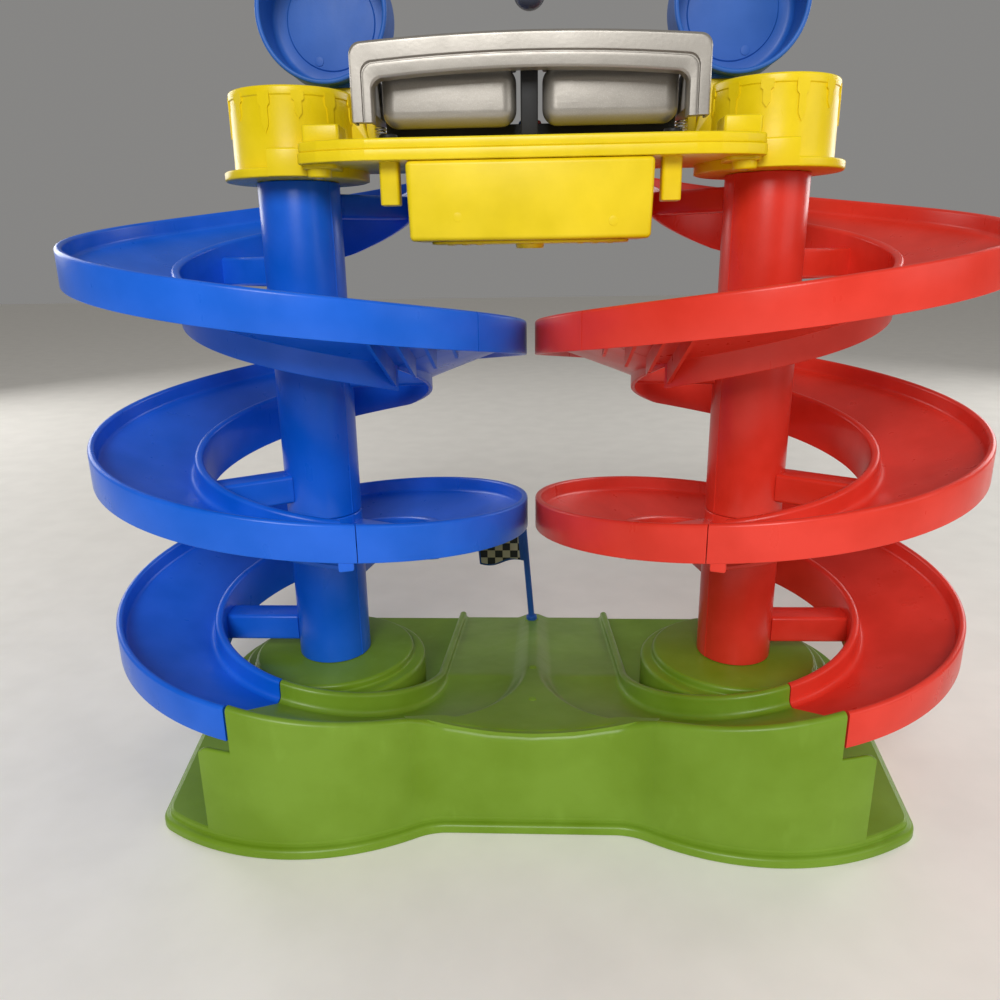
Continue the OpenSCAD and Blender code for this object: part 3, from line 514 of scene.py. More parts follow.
def add_node(tree, kind, values, **settings):
    """A new node with its settings made and its inputs set or linked."""
    node = tree.nodes.new(kind)
    for key, value in settings.items():
        setattr(node, key, value)
    for key, value in values.items():
        if isinstance(value, bpy.types.NodeSocket):
            tree.links.new(value, node.inputs[key])
        else:
            node.inputs[key].default_value = value
    return node


class Tree:
    """A geometry node tree put together here, with named inputs."""

    def __init__(self, name, inputs):
        self.group = bpy.data.node_groups.new(name, "GeometryNodeTree")
        face = self.group.interface
        face.new_socket("Geometry", in_out="INPUT", socket_type="NodeSocketGeometry")
        for label, kind in inputs:
            face.new_socket(label, in_out="INPUT", socket_type="NodeSocket" + kind)
        face.new_socket("Material", in_out="INPUT", socket_type="NodeSocketMaterial")
        face.new_socket("Geometry", in_out="OUTPUT", socket_type="NodeSocketGeometry")
        self.source = self.group.nodes.new("NodeGroupInput").outputs
        self.sink = self.group.nodes.new("NodeGroupOutput").inputs

    def node(self, kind, values, **settings):
        return add_node(self.group, kind, values, **settings)

    def calc(self, operation, a, b=0.0):
        return self.node("ShaderNodeMath", {0: a, 1: b}, operation=operation).outputs[0]

    def finish(self, geometry):
        real = self.node("GeometryNodeRealizeInstances", {"Geometry": geometry})
        painted = self.node(
            "GeometryNodeSetMaterial",
            {"Geometry": real.outputs[0], "Material": self.source["Material"]},
        )
        self.group.links.new(painted.outputs[0], self.sink[0])


def lane_tree():
    """A closed profile, given as points, carried down a helix.

    A point's Y is how far it sinks, or rises if negative, as its growth fills up.
    """
    tree = Tree(
        "Helical lane",
        [("Steps", "Int"), ("Start", "Float"), ("Span", "Float"), ("Gap", "Float"),
         ("Drop", "Float"), ("Skirt growth", "Float"), ("Rim growth", "Float")],
    )
    source = tree.source
    size = tree.node("GeometryNodeAttributeDomainSize", {"Geometry": source["Geometry"]})
    count = size.outputs["Point Count"]
    columns = tree.calc("ADD", count, 1)
    grid = tree.node(
        "GeometryNodeMeshGrid",
        {"Vertices X": tree.calc("ADD", source["Steps"], 1), "Vertices Y": columns},
    )
    index = tree.node("GeometryNodeInputIndex", {}).outputs[0]
    row = tree.calc("FLOOR", tree.calc("DIVIDE", tree.calc("ADD", index, 0.5), columns))
    column = tree.calc("SUBTRACT", index, tree.calc("MULTIPLY", row, columns))
    sample = tree.node(
        "GeometryNodeSampleIndex",
        {
            "Geometry": source["Geometry"],
            "Value": tree.node("GeometryNodeInputPosition", {}).outputs[0],
            "Index": tree.calc("MODULO", column, count),
        },
        data_type="FLOAT_VECTOR",
    )
    part = tree.node("ShaderNodeSeparateXYZ", {0: sample.outputs[0]}).outputs
    sweep = tree.calc("SUBTRACT", source["Span"], source["Gap"])
    along = tree.calc("MULTIPLY", sweep, tree.calc("DIVIDE", row, source["Steps"]))
    turn = tree.calc("ADD", source["Start"], along)
    fall = tree.calc("MULTIPLY", source["Drop"], tree.calc("SUBTRACT", source["Span"], along))
    height = tree.calc("ADD", part["Z"], fall)
    for side, growth in (("MAXIMUM", "Skirt growth"), ("MINIMUM", "Rim growth")):
        grown = tree.calc("MINIMUM", tree.calc("DIVIDE", along, source[growth]), 1.0)
        sink = tree.calc("MULTIPLY", tree.calc(side, part["Y"], 0.0), grown)
        height = tree.calc("SUBTRACT", height, sink)
    spot = tree.node(
        "ShaderNodeCombineXYZ",
        {
            0: tree.calc("MULTIPLY", part["X"], tree.calc("SINE", turn)),
            1: tree.calc("MULTIPLY", part["X"], tree.calc("MULTIPLY", tree.calc("COSINE", turn), -1)),
            2: height,
        },
    )
    placed = tree.node(
        "GeometryNodeSetPosition", {"Geometry": grid.outputs[0], "Position": spot.outputs[0]}
    )
    joined = tree.node(
        "GeometryNodeMergeByDistance", {"Geometry": placed.outputs[0], "Distance": 0.001}
    )
    tree.finish(joined.outputs[0])
    return tree


def repeat_tree():
    """Copies of a shape about an axis, each a step further round and up."""
    tree = Tree(
        "Helical repeat",
        [("Count", "Int"), ("Start", "Float"), ("Step", "Float"), ("Rise", "Float"),
         ("Shorter", "Float")],
    )
    source = tree.source
    index = tree.node("GeometryNodeInputIndex", {}).outputs[0]
    spot = tree.node("ShaderNodeCombineXYZ", {2: tree.calc("MULTIPLY", index, source["Rise"])})
    points = tree.node("GeometryNodePoints", {"Count": source["Count"], "Position": spot.outputs[0]})
    turn = tree.calc("ADD", source["Start"], tree.calc("MULTIPLY", index, source["Step"]))
    spin = tree.node("ShaderNodeCombineXYZ", {2: turn})
    short = tree.calc("MULTIPLY", tree.calc("MODULO", index, 2), source["Shorter"])
    scale = tree.node("ShaderNodeCombineXYZ", {0: 1.0, 1: 1.0, 2: tree.calc("SUBTRACT", 1.0, short)})
    copies = tree.node(
        "GeometryNodeInstanceOnPoints",
        {
            "Points": points.outputs[0],
            "Instance": source["Geometry"],
            "Rotation": spin.outputs[0],
            "Scale": scale.outputs[0],
        },
    )
    tree.finish(copies.outputs[0])
    return tree


def grow(shell, tree, seed, values):
    """Run a tree on a seed of points and faces, and take the mesh it makes."""
    mesh = bpy.data.meshes.new("seed")
    mesh.from_pydata(seed.points, [], seed.faces)
    obj = bpy.data.objects.new("seed", mesh)
    bpy.context.scene.collection.objects.link(obj)
    modifier = obj.modifiers.new(tree.group.name, "NODES")
    modifier.node_group = tree.group
    for item in tree.group.interface.items_tree:
        if item.in_out == "INPUT" and item.name in values:
            modifier[item.identifier] = values[item.name]
    graph = bpy.context.evaluated_depsgraph_get()
    made = bpy.data.meshes.new_from_object(obj.evaluated_get(graph))
    obj.modifiers.remove(modifier)
    shell.take(made)
    bpy.data.objects.remove(obj)
    bpy.data.meshes.remove(mesh)
    bpy.data.meshes.remove(made)


# Materials

class Paint:
    """A new material's node tree, with the few kinds of node that the finishes need."""

    def __init__(self, name):
        self.material = bpy.data.materials.new(name)
        self.material.use_nodes = True
        self.tree = self.material.node_tree
        self.shader = self.tree.nodes["Principled BSDF"].inputs
        self.spot = self.tree.nodes.new("ShaderNodeTexCoord").outputs["Object"]

    def drive(self, name, value):
        self.tree.links.new(value, self.shader[name])

    def mapped(self, **values):
        return add_node(self.tree, "ShaderNodeMapping", {"Vector": self.spot, **values}).outputs[0]

    def noise(self, scale, detail, stretch=(1, 1, 1)):
        values = {"Vector": self.mapped(Scale=stretch), "Scale": scale, "Detail": detail}
        return add_node(self.tree, "ShaderNodeTexNoise", values).outputs["Fac"]

    def remap(self, value, low, high, to_low, to_high):
        values = {"Value": value, "From Min": low, "From Max": high, "To Min": to_low, "To Max": to_high}
        return add_node(self.tree, "ShaderNodeMapRange", values).outputs[0]

    def blend(self, factor, a, b):
        a, b = [c if isinstance(c, bpy.types.NodeSocket) else (*c, 1) for c in (a, b)]
        values = {0: factor, 6: a, 7: b}
        return add_node(self.tree, "ShaderNodeMix", values, data_type="RGBA").outputs[2]


def plastic_paint(name, tone, rough=0.32, grain=None, mottle=None, flake=0.0, metal=0.0, pale=0.0):
    """Moulded plastic: uneven tone, pale flow marks, metal flakes, fine grain and a worn sheen."""
    finish = bpy.context.scene.ramptoy_finish
    grain = finish.grain if grain is None else grain
    mottle = finish.mottle if mottle is None else mottle
    paint = Paint(name)
    dark = [c * (1 - mottle) for c in tone]
    light = [min(1, c * (1 + mottle * 0.6) + 0.012) for c in tone]
    shade = paint.blend(paint.remap(paint.noise(24, 5), 0.35, 0.65, 0, 1), dark, light)
    if pale:
        marks = paint.remap(paint.noise(60, 6, (1, 1, 0.35)), 0.63, 0.74, 0, pale)
        shade = paint.blend(marks, shade, [min(1, c * 1.5 + 0.06) for c in tone])
    if flake:
        spark = paint.remap(paint.noise(2600, 1), 0.5, 0.72, 0, flake)
        shade = paint.blend(spark, shade, [min(1, c * 1.7 + 0.1) for c in tone])
    paint.drive("Base Color", shade)
    scuff = paint.noise(90, 6, (1, 1, 0.4))
    paint.drive("Roughness", paint.remap(scuff, 0.3, 0.75, rough * 0.9, rough * 1.15))
    paint.shader["Metallic"].default_value = metal
    paint.shader["Specular IOR Level"].default_value = 0.3
    values = {"Strength": grain, "Distance": 0.0006, "Height": paint.noise(520, 3)}
    paint.drive("Normal", add_node(paint.tree, "ShaderNodeBump", values).outputs[0])
    return paint


def plastic(name, tone, **looks):
    return plastic_paint(name, tone, **looks).material


def checkered(name, ink, paper, side):
    """The flag's print: dark and pale squares on an uneven paper."""
    paint = plastic_paint(name, paper, rough=0.45)
    flat = paint.mapped(Location=(0.0, 0.00031, 0.0), Scale=(1, 0, 1))
    check = add_node(paint.tree, "ShaderNodeTexChecker", {"Vector": flat, "Scale": 1 / side})
    plain_paper = paint.shader["Base Color"].links[0].from_socket
    paint.drive("Base Color", paint.blend(check.outputs["Fac"], plain_paper, ink))
    return paint.material


def coat(node_name, material):
    """Give a CAD node that stays its material."""
    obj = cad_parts[node_name]
    obj.data.materials.clear()
    obj.data.materials.append(material)


# Pieces

class RAMPTOY_OT_ramps(bpy.types.Operator):
    """Build the six ramp sections with their columns, arms and webs"""

    bl_idname = "ramptoy.ramps"
    bl_label = "Ramp sections"

    def execute(self, context):
        sizes = plain(context.scene.ramptoy_ramps)
        finish = context.scene.ramptoy_finish
        lane = lane_tree()
        repeat = repeat_tree()
        tones = {"blue": finish.blue, "red": finish.red}
        for side, tone in tones.items():
            material = plastic(f"ramp_{side}", tone, rough=0.3)
            for row, label in enumerate(("upper", "middle", "lower")):
                shell = Shell()
                section = self.section(sizes, row, lane, repeat, material)
                shell.add(section, mirror=side == "red", shift=(-sizes.tower_x, 0, 0))
                finish_piece(
                    f"{side}_{label}_section", shell, material, "stand",
                    [f"{side}_ramp_{label}"],
                )
        return {"FINISHED"}

    def section(self, s, row, lane, repeat, material):
        end_az = s.end_az + (2 - row) * (360 - s.section_arc)
        start_az = end_az - s.section_arc
        fall = s.turn_drop * s.section_arc / 360
        foot = s.boss_z + (2 - row) * fall
        edge = foot + s.end_rise
        rim = s.ramp_r - s.outer_rim
        thin = s.inner_r + s.wall
        profile = fillet(
            [(s.ramp_r, 0), (s.ramp_r, s.outer_wall), (rim, s.outer_wall), (rim, s.lane_outer),
             (s.lane_in_r, s.lane_inner), (s.lane_in_r, s.inner_top), (s.inner_r, s.inner_top),
             (s.inner_r, -s.shallow_skirt), (thin, -s.shallow_skirt), (thin, s.lane_inner - s.wall),
             (s.ramp_r - s.wall, s.lane_outer - s.wall), (s.ramp_r - s.wall, 0)],
            [0.5, 1.8, 1.8, 3, 3.5, 2.4, 2.4, 0.5, 0.5, 1, 1, 0.5],
        )
        seed = Shell()
        for r, z in profile:
            sink = 0
            if z < 0.7 - s.shallow_skirt:
                sink = s.skirt - s.shallow_skirt
            elif r < s.lane_in_r + 0.1 and z > s.inner_top - 3:
                sink = -s.rim_dip
                z -= s.rim_dip
            seed.points.append((r, sink, z + edge))
        shell = Shell()
        grow(shell, lane, seed, {
            "Steps": s.steps, "Start": math.radians(start_az), "Span": math.radians(s.section_arc),
            "Gap": math.radians(0.25), "Drop": s.turn_drop / (2 * math.pi),
            "Skirt growth": math.radians(s.skirt_growth), "Rim growth": math.radians(s.rim_growth),
            "Material": material,
        })
        shell.turn(rounded_rod(s.column_r, foot + 0.15, foot + fall - 0.15, 0.9))
        mould_az = 62
        line = Shell()
        line.slab(rectangle(-0.5, s.column_r - 1, 0.5, s.column_r + 0.3, 0.25, 2), foot + 0.6,
                  foot + fall - 0.6, 0.1, lambda u, v, d: (u, -v, d), steps=1)
        self.repeat(shell, repeat, line, material, 2, mould_az, 180, 0)
        # How many arms, how far before the section's end the first of them stands, its sink and its height
        arms = ((1, 282, s.first_arm_sink, s.first_arm_h), (2, 180, s.arm_sink, s.arm_h))
        spacing = 102
        for count, back, sink, height in arms:
            arm = Shell()
            top = edge + s.turn_drop * back / 360 - sink
            arm.slab(rectangle(-s.arm_w / 2, top - height, s.arm_w / 2, top, 2.2), s.column_r - 1.5,
                     thin - 0.6, 0.4, outward)
            self.repeat(shell, repeat, arm, material, count, end_az - back, spacing,
                        -s.turn_drop * spacing / 360)
        self.webs(shell, s, end_az, edge)
        if row == 1:
            tab = Shell()
            tab.slab(rectangle(-4, edge - 4, 4, edge + 2, 1.2), s.ramp_r - 4, s.ramp_r - 0.6, 0.6, outward)
            self.repeat(shell, repeat, tab, material, 1, end_az - 2.6, 0, 0)
        return shell

    def webs(self, shell, s, end_az, edge):
        """Parallel webs under the lane's last stretch, from the outer wall to the skirt."""
        stretch = 55
        seam = math.tan(math.radians(stretch - 0.6))
        half_t = 0.9
        spread = math.radians(end_az - stretch)
        outer = s.ramp_r - s.wall + 0.6
        inner = s.inner_r + s.wall - 0.6
        for x in (59, 72, 85, 98):
            last = -x / seam
            if x < inner:
                last = min(last, -math.sqrt(inner ** 2 - x ** 2))
            rings = []
            for k in range(9):
                y = mix(-math.sqrt(outer ** 2 - x ** 2), last, k / 8)
                radius = math.hypot(x, y)
                az = math.atan2(x, -y) + spread
                rise = edge + s.turn_drop * (end_az - math.degrees(az)) / 360
                t = (outer - radius) / (outer - inner)
                low = rise + mix(0.8, -s.skirt + 2, t)
                high = rise + mix(s.lane_outer, s.lane_inner, t) - s.wall + 0.8
                ring = []
                for side, z in ((-half_t, low), (half_t, low), (half_t, high), (-half_t, high)):
                    ring.append((radius * math.sin(az) + side * math.cos(spread),
                                 -radius * math.cos(az) + side * math.sin(spread), z))
                rings.append(ring)
            shell.skin(rings)

    def repeat(self, shell, tree, seed, material, count, start, step, rise):
        grow(shell, tree, seed, {
            "Count": count, "Start": math.radians(start), "Step": math.radians(step), "Rise": rise,
            "Shorter": 0.0, "Material": material,
        })


class RAMPTOY_OT_base(bpy.types.Operator):
    """Build the base: bead, shelves, front wall, lanes, island and bosses"""

    bl_idname = "ramptoy.base"
    bl_label = "Base"

    def execute(self, context):
        r = plain(context.scene.ramptoy_ramps)
        b = plain(context.scene.ramptoy_base)
        waist_dx = math.sqrt((r.ramp_r + b.waist_r) ** 2 - (b.waist_y + b.waist_r) ** 2)
        self.join_az = math.degrees(math.atan2(waist_dx, b.waist_y + b.waist_r))
        self.waist_x = r.tower_x - waist_dx
        join = math.radians(self.join_az)
        self.join_x = r.tower_x - r.ramp_r * math.sin(join)
        join_y = -r.ramp_r * math.cos(join)
        join_z = self.edge_z(r, self.join_az) + r.outer_wall - b.wall_dip
        self.bow = (join_z - self.ridge_z(b, join_y)) / self.join_x ** 2
        shell = Shell()
        self.shelf(shell, r, b)
        lane = Shell()
        lane.skin(self.lane_rings(r, b))
        self.stub(lane, r, b)
        lane.turn(self.boss_profile(r, b), level(-r.tower_x, 0, 0), 96, loop=True)
        shell.add(twin(lane))
        self.island(shell, r, b)
        self.front(shell, b)
        sizes = plain(context.scene.ramptoy_signs)
        foot = self.ridge_z(b, sizes.flag_y)
        shell.turn(fillet([(0.2, 4), (7, 4), (6, foot + 0.8), (0.2, foot + 0.8)], 1.2, closed=False),
                   level(sizes.flag_x, sizes.flag_y, 0), 48)
        ejector_marks = (-59, -3)
        for y in ejector_marks:
            top = self.ridge_z(b, y)
            shell.turn(rounded_rod(2.6, top - 2, top + 0.5, 0.35), level(0.5, y, 0), 32)
        material = plastic("base_green", context.scene.ramptoy_finish.green, rough=0.34, pale=0.14)
        finish_piece("base_moulding", shell, material, "stand", ["base"])
        return {"FINISHED"}

    def edge_z(self, r, az):
        return r.boss_z + r.end_rise - r.turn_drop * (az - r.end_az) / 360

    def ridge_z(self, b, y):
        if y < 0:
            return mix(b.ridge_mid, b.ridge_front, -y / b.waist_y)
        return mix(b.ridge_mid, b.ridge_end, y / b.exit_y)

    def island_z(self, b, x, y):
        return self.ridge_z(b, y) + (self.bow * x * x if y < 0 else 0)

    def outline(self, r, b, out):
        reach = r.ramp_r - b.corner_r
        turn = math.radians(b.corner_az)
        corner = Vector((r.tower_x + reach * math.sin(turn), -reach * math.cos(turn)))
        rear = Vector((b.width / 2 - b.rear_r, b.exit_y - b.rear_r))
        run = rear - corner
        side = math.degrees(math.atan2(run.y, run.x) - math.acos((b.corner_r - b.rear_r) / run.length))
        half = (
            arc((self.waist_x, -b.waist_y - b.waist_r), b.waist_r - out, 90, 90 - self.join_az, 12)
            + arc((r.tower_x, 0), r.ramp_r + out, 270 - self.join_az, 270 + b.corner_az, 40)[1:]
            + arc(corner, b.corner_r + out, b.corner_az - 90, side, 14)[1:]
            + arc(rear, b.rear_r + out, side, 90, 30)
        )
        return mirrored(half)

    def shelf(self, shell, r, b):
        """The bead, the low wall round the foot and the shelves, open under the lanes."""
        top = b.shelf_z
        rows = [(-r.wall, 0), (b.bead_w - 0.6, 0), (b.bead_w, 0.6)]
        bend = 2.6
        rows += arc((b.bead_w - bend, b.bead_h - bend), bend, 0, 90, 6)
        rows += [(0.5, b.bead_h + 0.1), (0, b.bead_h + 0.5), (0, top - 1.6), (-0.5, top - 0.5), (-1.6, top),
                 (-r.wall, top - 0.3)]
        shell.skin([[(x, y, z) for x, y in self.outline(r, b, out)] for out, z in rows], loop=True)
        gap = r.wall / 2
        rear = b.exit_y - r.wall
        half = (
            arc((self.waist_x, -b.waist_y - b.waist_r), b.waist_r + gap, 90, 90 - self.join_az, 10)
            + arc((r.tower_x, 0), r.ramp_r - gap, 270 - self.join_az, 270 - r.end_az, 24)[1:]
            + arc((r.tower_x, 0), r.inner_r + gap, 270 - r.end_az, 180, 40)
            + [(r.tower_x - r.inner_r - gap, rear)]
        )
        under_lanes = mirrored(half)
        bosses = [arc((x, 0), b.step_r - gap, 0, 354, 59) for x in (-r.tower_x, r.tower_x)]
        shell.sheet([self.outline(r, b, -1.6), under_lanes] + bosses, top - r.wall, top)

    def lane_ring(self, r, b, wall_z, out_z, in_z, rib_z, soft):
        """A lane's section: its outer rim is a hump, or a soft shoulder next to the island."""
        out = r.ramp_r - 0.1
        bend = b.rim_round
        hump = []
        for k in range(7):
            a = math.pi / 12 * k
            hump.append((out - bend * (1 - math.cos(a)), wall_z - bend * (1 - math.sin(a))))
        for k in range(1, 5):
            a = math.pi / 8 * k
            hump.append((out - bend * (1 + math.sin(a)), wall_z - bend * (1 - math.cos(a))))
        hump += [(out - 6, out_z + 3), (out - 7, out_z + 1), (out - 9.5, out_z)]
        rim = []
        for k, (q, z) in enumerate(hump):
            t = k / (len(hump) - 1)
            rim.append((mix(q, out - 12 * t, soft), mix(z, mix(wall_z, out_z, ease(t)), soft)))
        inner = fillet(
            [(out - 14, out_z), (r.lane_in_r, in_z), (r.lane_in_r, rib_z), (r.inner_r, rib_z),
             (r.inner_r, 0.5)],
            [0, 3.5, 2.5, 2.5, 0], closed=False)
        under = [(r.inner_r + r.wall, 0.5), (r.inner_r + r.wall, in_z - r.wall),
                 (out - r.wall, out_z - r.wall), (out - r.wall, 0.5)]
        return [(out, 0.5)] + rim + inner + under

    def lane_rings(self, r, b):
        rings = []
        curve_steps, straight_steps = 68, 24
        first = r.end_az + 0.25
        for i in range(curve_steps):
            az = mix(first, 90, i / curve_steps)
            t = (az - r.end_az) / (90 - r.end_az)
            turn = math.radians(az)
            edge = self.edge_z(r, az)
            middle = mix(edge + (r.lane_outer + r.lane_inner) / 2, b.straight_z, t * t)
            half = (r.lane_outer - r.lane_inner) / 2 * (1 - t * t)
            if az < self.join_az:
                back = (self.join_az - az) / (self.join_az - r.end_az)
                wall_z = edge + r.outer_wall - b.wall_dip * (1 - back * back)
            else:
                wall_z = self.island_z(
                    b, r.tower_x - r.ramp_r * math.sin(turn), -r.ramp_r * math.cos(turn)
                )
            soft = ease((az - self.join_az + 4) / 20)
            ring = self.lane_ring(r, b, wall_z, middle + half, middle - half, edge + r.inner_top, soft)
            rings.append(swung(ring, turn, -r.tower_x))
        for i in range(straight_steps + 1):
            t = i / straight_steps
            floor = mix(b.straight_z, b.shelf_z + 0.4, t)
            rib = mix(self.edge_z(r, 90) + r.inner_top, b.shelf_z + 6, t)
            ring = self.lane_ring(r, b, self.ridge_z(b, t * b.exit_y), floor, floor, rib, 1)
            rings.append([(-r.tower_x + q, t * (b.exit_y - 0.5), z) for q, z in ring])
        return rings

    def stub(self, shell, r, b):
        """The short wall beyond a ramp's end, with its free end rounded off."""
        rings = []
        steps = 12
        out, inner = r.ramp_r - 0.2, r.ramp_r - 3.4
        for i in range(steps + 1):
            az = mix(r.end_az - b.stub_arc, r.end_az + 1, i / steps)
            top = b.stub_z - 3 * (1 - min(1, i / 3)) ** 2
            ring = fillet([(out, 0.5), (out, top), (inner, top), (inner, 0.5)], [0, 1.4, 1.4, 0])
            rings.append(swung(ring, math.radians(az), -r.tower_x))
        shell.skin(rings)

    def boss_profile(self, r, b):
        low = b.shelf_z - 2
        top = b.step_z + 5.5
        bore = 20
        thin = r.wall
        return fillet(
            [(b.step_r, low), (b.step_r, b.step_z), (b.boss_r, b.step_z), (b.boss_r, top), (bore, top),
             (bore, top - thin), (b.boss_r - thin, top - thin), (b.boss_r - thin, b.step_z - thin),
             (b.step_r - thin, b.step_z - thin), (b.step_r - thin, low)],
            [0, 2.8, 1.6, 2.4, 0, 0, 0, 0, 0, 0])

    def island(self, shell, r, b):
        """The raised ground between the lanes."""
        rings = []
        rows, columns = 60, 24
        reach = r.ramp_r - 0.6
        for i in range(rows + 1):
            y = mix(-b.waist_y + 1.5, b.exit_y - 0.6, i / rows)
            half = r.tower_x - (math.sqrt(reach ** 2 - y ** 2) if y < 0 else reach)
            xs = [mix(-half, half, j / columns) for j in range(columns + 1)]
            top = [(x, y, self.island_z(b, x, y) - 0.05) for x in xs]
            low = [(x, y, self.island_z(b, x, y) - r.wall) for x in reversed(xs)]
            rings.append(top + low)
        shell.skin(rings)

    def front(self, shell, b):
        """The front wall's face with its rounded top, round the waist."""
        half = (
            [(0, -b.waist_y), (self.waist_x / 2, -b.waist_y)]
            + arc((self.waist_x, -b.waist_y - b.waist_r), b.waist_r, 90, 90 - self.join_az, 16)
        )
        path = [(-x, y) for x, y in reversed(half)] + half[1:]
        rings = []
        for i, (x, y) in enumerate(path):
            before = path[max(i - 1, 0)]
            after = path[min(i + 1, len(path) - 1)]
            run = Vector((after[0] - before[0], after[1] - before[1])).normalized()
            top = self.island_z(b, x, y)
            reach = mix(2.2 * b.rim_round, 2.2 * b.front_round, ease((self.join_x - abs(x)) / 22))
            ring = fillet(
                [(0.1, 0.5), (0.1, top), (reach, self.island_z(b, x, y + reach)), (reach, top - 7),
                 (3, top - 9), (3, 0.5)],
                [0, b.front_round, 0, 0, 0, 0], 8)
            rings.append([(x - run.y * n, y + run.x * n, z) for n, z in ring])
        shell.skin(rings)


class RAMPTOY_OT_caps(bpy.types.Operator):
    """Build both tower caps with their flange and raised tongues"""

    bl_idname = "ramptoy.caps"
    bl_label = "Tower caps"

    def execute(self, context):
        r = plain(context.scene.ramptoy_ramps)
        d = plain(context.scene.ramptoy_deck)
        material = plastic("cap_yellow", context.scene.ramptoy_finish.yellow, rough=0.3)
        foot = d.low_z - d.flange_h
        top = foot + d.cap_h
        cap = Shell()
        bore = 10
        ledge = foot + d.flange_h - 0.2
        cap.turn(fillet(
            [(bore, foot), (d.flange_r, foot), (d.flange_r, ledge), (d.cap_r - 0.1, ledge),
             (d.cap_r - 0.4, top - 5.2), (d.cap_r + 0.15, top - 4.6), (d.cap_r + 0.05, top),
             (d.cap_r - 3, top), (d.cap_r - 3.6, top - 0.8), (bore, top - 0.8)],
            [0, 1.2, 1, 1.2, 0.3, 0.4, 1.4, 0.4, 0.4, 0], closed=False), steps=120)
        tongue = Shell()
        half = d.tongue_w / 2
        slim = half * 0.58
        outline = [(-half, 0), (-half, -0.3), (-slim, -0.38), (-slim, -0.8), (0, -1), (slim, -0.8),
                   (slim, -0.38), (half, -0.3), (half, 0)]
        tongue.slab(outline, d.cap_r - 3, d.cap_r + 0.3, 0.0,
                    lambda u, v, w: (u * (w / d.cap_r), -w, v), steps=1)
        tongue.points = [(x, y, z * d.tongue_l) for x, y, z in tongue.points]
        drips = Shell()
        count = 12
        grow(drips, repeat_tree(), tongue, {
            "Count": count, "Start": math.radians(-10), "Step": 2 * math.pi / count, "Rise": 0.0,
            "Shorter": 0.34, "Material": material,
        })
        cap.add(drips, shift=(0, 0, top - 3))
        for side, mirror in (("left", False), ("right", True)):
            shell = Shell()
            shell.add(cap, mirror=mirror, shift=(-r.tower_x, 0, 0))
            finish_piece(f"{side}_cap", shell, material, "stand", [f"{side}_tower_cap"])
        return {"FINISHED"}


